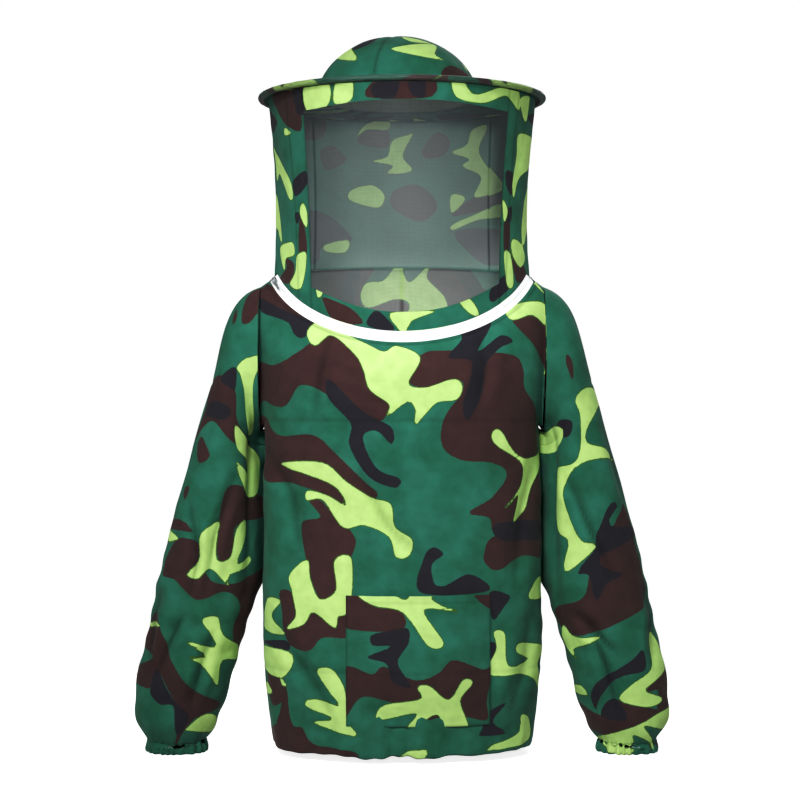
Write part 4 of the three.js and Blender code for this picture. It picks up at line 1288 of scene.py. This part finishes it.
for side, label, patches in ((1, "left", LEFT_SLEEVE), (-1, "right", RIGHT_SLEEVE)):
    arm = arm_cloth(side)
    own_print = print_of(patches, arm)
    own = paint(own_print, arm.s, arm.t)
    girth = girth_of(arm)[:, None]
    turned_s = np.where(arm.s > 0, girth / 2 - arm.s, -girth / 2 - arm.s)
    turned = paint(own_print, turned_s, arm.t.max() - arm.t)
    arm.paint = together(own, only_where(turned, np.abs(arm.s) - girth / 4 - 14))
    for name, rows in (("shoulder", slice(0, SHOULDER_ROWS + 1)), ("sleeve", slice(SHOULDER_ROWS, None))):
        piece = cloth_object(f"{name}_cloth_{label}", arm, rows=rows)
        if name == "shoulder":
            dress(piece, arm, camouflage,
                  replaces=[f"shoulder_{label}"], rows=rows)
            follow_arm(piece)
        else:
            dress(piece, arm, camouflage, f"sleeve_{label}",
                  [f"sleeve_{label}"], rows=rows)
    cuff = ring_cloth(cuff_outline(side), *CUFF_Z, CHANNEL_ROOM, 220, cuff_gathers, CUFF_DEPTH, -2.4)
    cuff.paint = ring_paint(cuff, patches, own_print, 380)
    piece = cloth_object(f"cuff_casing_cloth_{label}", cuff, thickness=CASING_CLOTH)
    body, elastic_name, casing = f"sleeve_{label}", f"cuff_elastic_{label}", f"cuff_casing_{label}"
    dress(piece, cuff, camouflage, body, [casing])


# ---------- hood ----------

HOOD_TOP_Z = 253.4
HOOD_TOP = (186, 196, 190)  # half width, front and back depth
WINDOW_TURN = 2.4
# The hood's back and sides bend from the sewn nape up and forward, until they follow the brim and the zip.
BACK_SEAM = 135


def hood_surface(compass, height):
    turn = np.radians(compass)
    depth = np.where(np.cos(turn) > 0, HOOD_TOP[1], HOOD_TOP[2])
    top = vec(HOOD_TOP[0] * np.sin(turn), -depth * np.cos(turn), HOOD_TOP_Z)
    around = np.where(compass > 180, compass - 360, compass)
    foot = neckline(around, -ZIP_EDGE - 3 * SEAM)
    tuck = np.sin(np.pi * height) * 5 * np.abs(np.sin(turn))
    return mix(foot, top, height) - vec(tuck * np.sin(turn), 0, 0)


def window_edge(side):
    return lambda height: WINDOW_TURN + side * lerp(56, 48.4, height)


def strip_edge(side):
    return lambda height: side * lerp(64, 58.4, height)


def corner_share(compass):
    return ease(10, 55, np.abs(compass - WINDOW_TURN))


def collar_top(compass):
    return lerp(0.078, 0.1, corner_share(compass))


def band_foot(compass):
    return 1 - lerp(0.071, 0.1, corner_share(compass))


def hood_patch(left, right, foot, head, rows, columns):
    """Points of a hood piece, with its rows from the brim down."""
    v, u = grid(np.linspace(1, 0, rows), np.linspace(0, 1, columns))
    height = v
    for _ in range(6):
        compass = lerp(left(height), right(height), u)
        height = lerp(foot(compass), head(compass), v)
    return hood_surface(compass, height), compass, height


constant = lambda value: lambda given: np.full(np.shape(given), float(value))
HOOD_PIECES = [  # name, edges left, right, foot and head, rows, columns
    ("collar_band", window_edge(-1), window_edge(1), constant(0), collar_top, 9, 90),
    ("veil_mesh", window_edge(-1), window_edge(1), collar_top, band_foot, 66, 90),
    ("top_band", window_edge(-1), window_edge(1), band_foot, constant(1), 9, 90),
    ("window_strip_left", window_edge(1), strip_edge(1), constant(0), constant(1), 80, 10),
    ("window_strip_right", strip_edge(-1), window_edge(-1), constant(0), constant(1), 80, 10),
    ("hood_side_left", strip_edge(1), constant(BACK_SEAM), constant(0), constant(1), 70, 66),
    ("hood_side_right", constant(-BACK_SEAM), strip_edge(-1), constant(0), constant(1), 70, 66),
    ("hood_back", constant(BACK_SEAM), constant(360 - BACK_SEAM), constant(0), constant(1), 66, 74),
]

from_axis = lambda p: vec(p[..., 0], p[..., 1], 0)
for name, left, right, foot, head, rows, columns in HOOD_PIECES:
    points, compass, height = hood_patch(left, right, foot, head, rows, columns)
    cloth = Cloth(points, from_axis)
    s, t = cloth.s, cloth.t
    u = np.linspace(0, 1, columns)[None, :]
    held = ease(0, 10, t) * ease(0, 10, t.max() - t) * ease(0, 0.1, u) * ease(0, 0.1, 1 - u)
    if name == "veil_mesh":
        cloth.lift = held * 1.5 * waves(s, t * 0.4, 91, 80)
    elif name.startswith("hood"):
        cloth.lift = held * (2.4 * waves(s, t * 0.35, 95 + len(name), 60) + 0.6 * waves(s, t, 99, 30))
    seam = np.minimum(u, 1 - u) * np.ptp(s, axis=1)[:, None]
    # Painted shade along the pieces' seams.
    cloth.crease_and_painted_shade = 0.45 * hump(seam, 0, 2.2)
    if name == "hood_back":
        cloth.paint = paint(body_print, s, 470 - t)
    else:
        cloth.paint = paint(print_of(HOOD, cloth), s, t)
    if name.startswith("hood_side"):
        behind = np.abs(compass) - 96
        more = paint(body_print, s * (1 if name.endswith("left") else -1) - 60, t + 120)
        cloth.paint = together(cloth.paint, only_where(more, behind * 3))
    if name.startswith("hood"):
        cloth.lining = paint(print_of(HOOD_INSIDE, cloth, inside=True), s, t)
    if name == "veil_mesh":
        cloth.paint = {}
        piece = cloth_object("veil_netting", cloth, thickness=0)
        dress(piece, cloth, netting, "hood", ["veil_mesh"])
        continue
    piece = cloth_object(f"{name}_cloth", cloth)
    sewn_to_back = name.startswith("hood")
    dress(piece, cloth, camouflage, None if sewn_to_back else "hood", [name])
    if sewn_to_back:
        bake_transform(piece)


# ---------- hat ----------

BRIM_RADIUS = 197
BRIM_INNER = (106, 112)
BRIM_Z = 261.1
BRIM_GAP = 5.8  # between the brim's upper and under cloth
BRIM_MIDDLE_Z = BRIM_Z - BRIM_GAP / 2
BINDING_EDGE = 193  # radius of the binding's two stitched edges
BINDING_HALF = 3.7  # half of the binding's thickness
CROWN_X = -6
CROWN = (115, 121, 250, 95)  # half width, half depth, centre height, rise
CROWN_SEAM = -17


def brim_cloth(z, side):
    share, angle = grid(np.linspace(0, 1, 26), np.linspace(0, 2 * np.pi, 300, endpoint=False))
    x = lerp(BRIM_INNER[0], BRIM_RADIUS, share) * np.cos(angle) + CROWN_X * (1 - share)
    y = lerp(BRIM_INNER[1], BRIM_RADIUS, share) * np.sin(angle)
    cloth = Cloth(vec(x, y, z), lambda p: vec(0, 0, side + p[..., 2] * 0), closed=True)
    stitched = sum(hump(cloth.t, row, 1.1) for row in np.arange(12, 84, 12))
    cloth.lift = -0.35 * stitched
    # Painted shade along the stitching rows, and all over the underside.
    cloth.crease_and_painted_shade = 0.35 * stitched + (0.45 if side < 0 else 0)
    return cloth


for name, z, side in (("brim_top", BRIM_Z, 1), ("brim_underside", BRIM_Z - BRIM_GAP, -1)):
    brim = brim_cloth(z, side)
    around = brim.points
    brim.paint = paint(body_print, around[..., 0], around[..., 1] * side + 320)
    piece = cloth_object(f"{name}_cloth", brim)
    dress(piece, brim, camouflage, "hood", [name])


def binding():
    """A tape folded round the brim's edge."""
    nose = np.linspace(np.pi / 2, -np.pi / 2, 13)
    flat = np.linspace(BINDING_EDGE, BRIM_RADIUS, 3)
    radius = np.concatenate([flat, 197.4 + BINDING_HALF * np.cos(nose), flat[::-1]])
    level_edge = np.full(len(flat), BINDING_HALF)
    height = np.concatenate([level_edge, BINDING_HALF * np.sin(nose), -level_edge]) + BRIM_MIDDLE_Z
    row, angle = grid(np.arange(len(radius)), np.linspace(0, 2 * np.pi, 300, endpoint=False))
    r = radius[row]
    points = vec(r * np.cos(angle), r * np.sin(angle), height[row])
    level = lambda p: p * (1 - BINDING_EDGE / np.hypot(p[..., 0], p[..., 1]))[..., None] * [1, 1, 0]
    upright = lambda p: (p - [0, 0, BRIM_MIDDLE_Z]) * [0, 0, 1]
    cloth = Cloth(points, lambda p: level(p) + upright(p), closed=True)
    cloth.lift = 0.4 * waves(angle * BRIM_RADIUS, height[row] * 4, 5, 14)
    repeat = np.mod(angle * BRIM_RADIUS, 330) - 165
    cloth.paint = paint(body_print, repeat, cloth.t + 255)
    # Painted shade all over the binding, lighter in random streaks as painted glints.
    cloth.crease_and_painted_shade = 0.75 + 0.25 * waves(angle * BRIM_RADIUS, height[row] * 4, 6, 9)
    return cloth


edge = binding()
piece = cloth_object("brim_binding_tape", edge, thickness=0.5)
dress(piece, edge, binding_cloth, "hood", ["brim_binding"])


def crown_cloth(index):
    floor = math.asin((BRIM_Z + SEAM - CROWN[2]) / CROWN[3])
    start = CROWN_SEAM + index * 90
    rise, u = grid(np.linspace(0.985, 0, 40), np.linspace(0, 1, 46))
    climb = lerp(floor, np.pi / 2, rise)
    angle = np.radians(start + 90 * u)
    middle = math.radians(start + 45)
    points = vec(
        CROWN_X + CROWN[0] * np.cos(climb) * np.sin(angle) + 0.3 * math.sin(middle),
        -CROWN[1] * np.cos(climb) * np.cos(angle) - 0.3 * math.cos(middle),
        CROWN[2] + CROWN[3] * np.sin(climb),
    )
    cloth = Cloth(points, lambda p: vec(p[..., 0] - CROWN_X, p[..., 1], p[..., 2] - CROWN[2] + 30))
    width = np.cos(climb) * 90 + 4
    from_seam = np.minimum(u, 1 - u) * width * 2
    puckers = 0.5 * np.sin(cloth.t / 1.9) * hump(from_seam, 0, 5)
    slack = 0.8 * waves(points[..., 0], points[..., 2], 7, 50)
    cloth.lift = -1.6 * hump(from_seam, 0, 4) + slack + puckers
    cloth.lift *= ease(0, 6, cloth.t.max() - cloth.t)
    # Painted shade along the panels' seams.
    cloth.crease_and_painted_shade = 0.5 * hump(from_seam, 0, 2.5)
    return cloth


for index in range(4):
    crown = crown_cloth(index)
    crown.paint = paint(print_of(CROWN_PRINT, crown), crown.s, crown.t)
    if index in (1, 2):
        crown.paint = paint(body_print, crown.s - 80 * index, crown.t + 380)
    piece = cloth_object(f"crown_cloth_{index + 1}", crown)
    dress(piece, crown, camouflage, "hood", [f"crown_panel_{index + 1}"])


# ---------- zip ----------


def arc_cloth(profile, from_angle, to_angle, count):
    """A strip along the zip's arc through profile points of (down, out)."""
    down, out = np.array(profile, float).T
    row, angle = grid(np.arange(len(profile)), np.linspace(from_angle, to_angle, count))
    return on_neck(angle, down[row], out[row])


ZIP_END = math.radians(70.8)
COIL_TURNS = 300
COIL_STEPS = 9  # steps along the thread for each turn
COIL_MIDDLE = 1.6  # from the middle of the zip to the middle of a coil
COIL_RADII = (0.72, 0.8)  # across and out
COIL_THREAD = 0.36  # the thread's radius


def zip_tape(name, sign):
    """A woven tape with lengthwise ribs, folded round as a closed strip."""
    across = np.linspace(0.15, 7.2, 24)
    under_coil = 1 - ease(2.2, 3.2, across)
    top = 0.5 - 0.18 * (0.5 + 0.5 * np.cos(2 * np.pi * (across - 2.9) / 1.25)) - 1.5 * under_coil
    foot = -0.45 - 0.85 * under_coil
    round_trip = [*zip(across, top), *zip(across[::-1], foot[::-1])]
    profile = [(a * sign, h) for a, h in round_trip]
    points = arc_cloth(profile, -ZIP_END, ZIP_END, 150).transpose(1, 0, 2)
    count = len(profile)
    faces = grid_faces(len(points), count, True, turned=sign > 0)
    return mesh_object(name, points.reshape(-1, 3), faces)


def zip_teeth(name, sign):
    """A nylon coil: one thread wound along the zip."""
    turns = COIL_TURNS
    steps = turns * COIL_STEPS
    angle = np.linspace(-ZIP_END, ZIP_END, steps)
    wind = np.linspace(0, 2 * np.pi * turns, steps)
    spine = on_neck(angle, sign * (COIL_MIDDLE + COIL_RADII[0] * np.cos(wind)), COIL_RADII[1] * np.sin(wind))
    forward = np.gradient(spine, axis=0)
    forward /= np.linalg.norm(forward, axis=1, keepdims=True)
    side = np.cross(forward, neck_axis)
    side /= np.linalg.norm(side, axis=1, keepdims=True)
    up = np.cross(forward, side)
    rim = np.linspace(0, 2 * np.pi, 5, endpoint=False)
    away = side[:, None] * np.cos(rim)[:, None] + up[:, None] * np.sin(rim)[:, None]
    tube = spine[:, None] + COIL_THREAD * away
    return mesh_object(name, tube.reshape(-1, 3), grid_faces(steps, 5, True))


for name, sign, body in (("lower", 1, "jacket"), ("upper", -1, "hood")):
    tape = zip_tape(f"zip_tape_ribbed_{name}", sign)
    tape.data.materials.append(zip_cloth)
    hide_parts(f"zip_tape_{name}")
    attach(tape, body)
    coil = zip_teeth(f"zip_teeth_{name}", sign)
    coil.data.materials.append(zip_nylon)
    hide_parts(f"zip_coil_{name}")
    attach(coil, body)

CAD_FINISHES = {
    "hem_elastic": elastic,
    "cuff_elastic_left": elastic,
    "cuff_elastic_right": elastic,
    "zip_stop_left": zip_metal,
    "zip_stop_right": zip_metal,
    "zip_slider": zip_metal,
    "zip_pull": zip_metal,
    "brim_stiffener": stiffener,
    "brim_wire": steel_wire,
    "sweatband": sweatband_cloth,
}
for name, finish in CAD_FINISHES.items():
    cad_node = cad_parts[name]
    cad_node.data.materials.clear()
    cad_node.data.materials.append(finish)


# ---------- floor, light and camera ----------

AMBIENT = 0.21
FLOOR_RADIUS = 0.9
FLOOR_GLOW = 0.72


def studio():
    low = cad_bounds[0][2]
    place = (0, 0, low - 0.001)
    bpy.ops.mesh.primitive_circle_add(vertices=96, radius=FLOOR_RADIUS, fill_type="NGON", location=place)
    floor = bpy.context.object
    floor.name = "floor"
    material, _, shader = new_material("floor")
    shader.inputs["Base Color"].default_value = (0.93, 0.93, 0.93, 1)
    shader.inputs["Roughness"].default_value = 0.9
    shader.inputs["Specular IOR Level"].default_value = 0.0
    shader.inputs["Emission Color"].default_value = (1, 1, 1, 1)
    shader.inputs["Emission Strength"].default_value = FLOOR_GLOW
    floor.data.materials.append(material)
    floor.visible_diffuse = False
    world = bpy.data.worlds.new("studio")
    bpy.context.scene.world = world
    world.use_nodes = True
    tree = world.node_tree
    background = tree.nodes["Background"]
    background.inputs["Color"].default_value = (1, 1, 1, 1)
    seen_directly = node(tree, "ShaderNodeLightPath").outputs["Is Camera Ray"]
    tree.links.new(ramp(tree, seen_directly, 0, 1, AMBIENT, 1.0), background.inputs["Strength"])
    for name, place, target, size, power, cone in (
        ("key", (-0.6, -2.6, 1.5), (-0.02, -0.12, -0.21), 0.5, 1080, 15.6),
        ("fill", (1.9, -3.0, 0.7), (0, 0, -0.15), 1.6, 12, None),
        ("left_fill", (-1.9, -3.0, 0.9), (0, 0, -0.15), 1.6, 22, None),
        ("window", (0.1, -3.0, 0.0), (0.01, 0.1, 0.1), 0.2, 520, 8),
        ("back", (0.9, 3.0, 1.8), (0, 0, -0.15), 2.0, 60, None),
    ):
        data = bpy.data.lights.new(name, "SPOT" if cone else "AREA")
        data.energy = power
        if cone:
            data.spot_size = math.radians(cone)
            data.spot_blend = 1
            data.shadow_soft_size = size
        else:
            data.size = size
        light = bpy.data.objects.new(name, data)
        light.location = place
        aim = np.array(target) - np.array(place)
        light.rotation_euler = (
            math.acos(-aim[2] / np.linalg.norm(aim)),
            0,
            math.atan2(aim[1], aim[0]) - math.pi / 2,
        )
        bpy.context.scene.collection.objects.link(light)


TONE_CURVE = [(0.02, 0.0145), (0.05, 0.035), (0.1, 0.09), (0.2, 0.215), (0.4, 0.48), (0.8, 0.87)]


def photographic_contrast():
    view = bpy.context.scene.view_settings
    view.view_transform = "Standard"
    view.use_curve_mapping = True
    for point in TONE_CURVE:
        view.curve_mapping.curves[3].points.new(*point)
    view.curve_mapping.update()


def photograph_camera():
    data = bpy.data.cameras.new("camera")
    data.lens = 90
    data.sensor_width = 36
    data.clip_end = 100
    camera = bpy.data.objects.new("camera", data)
    camera.location = (CAMERA_X * MM, -CAMERA_DISTANCE * MM, CAMERA_Z * MM)
    camera.rotation_euler = (math.pi / 2, 0, 0)
    bpy.context.scene.collection.objects.link(camera)
    bpy.context.scene.camera = camera


studio()
photograph_camera()
photographic_contrast()
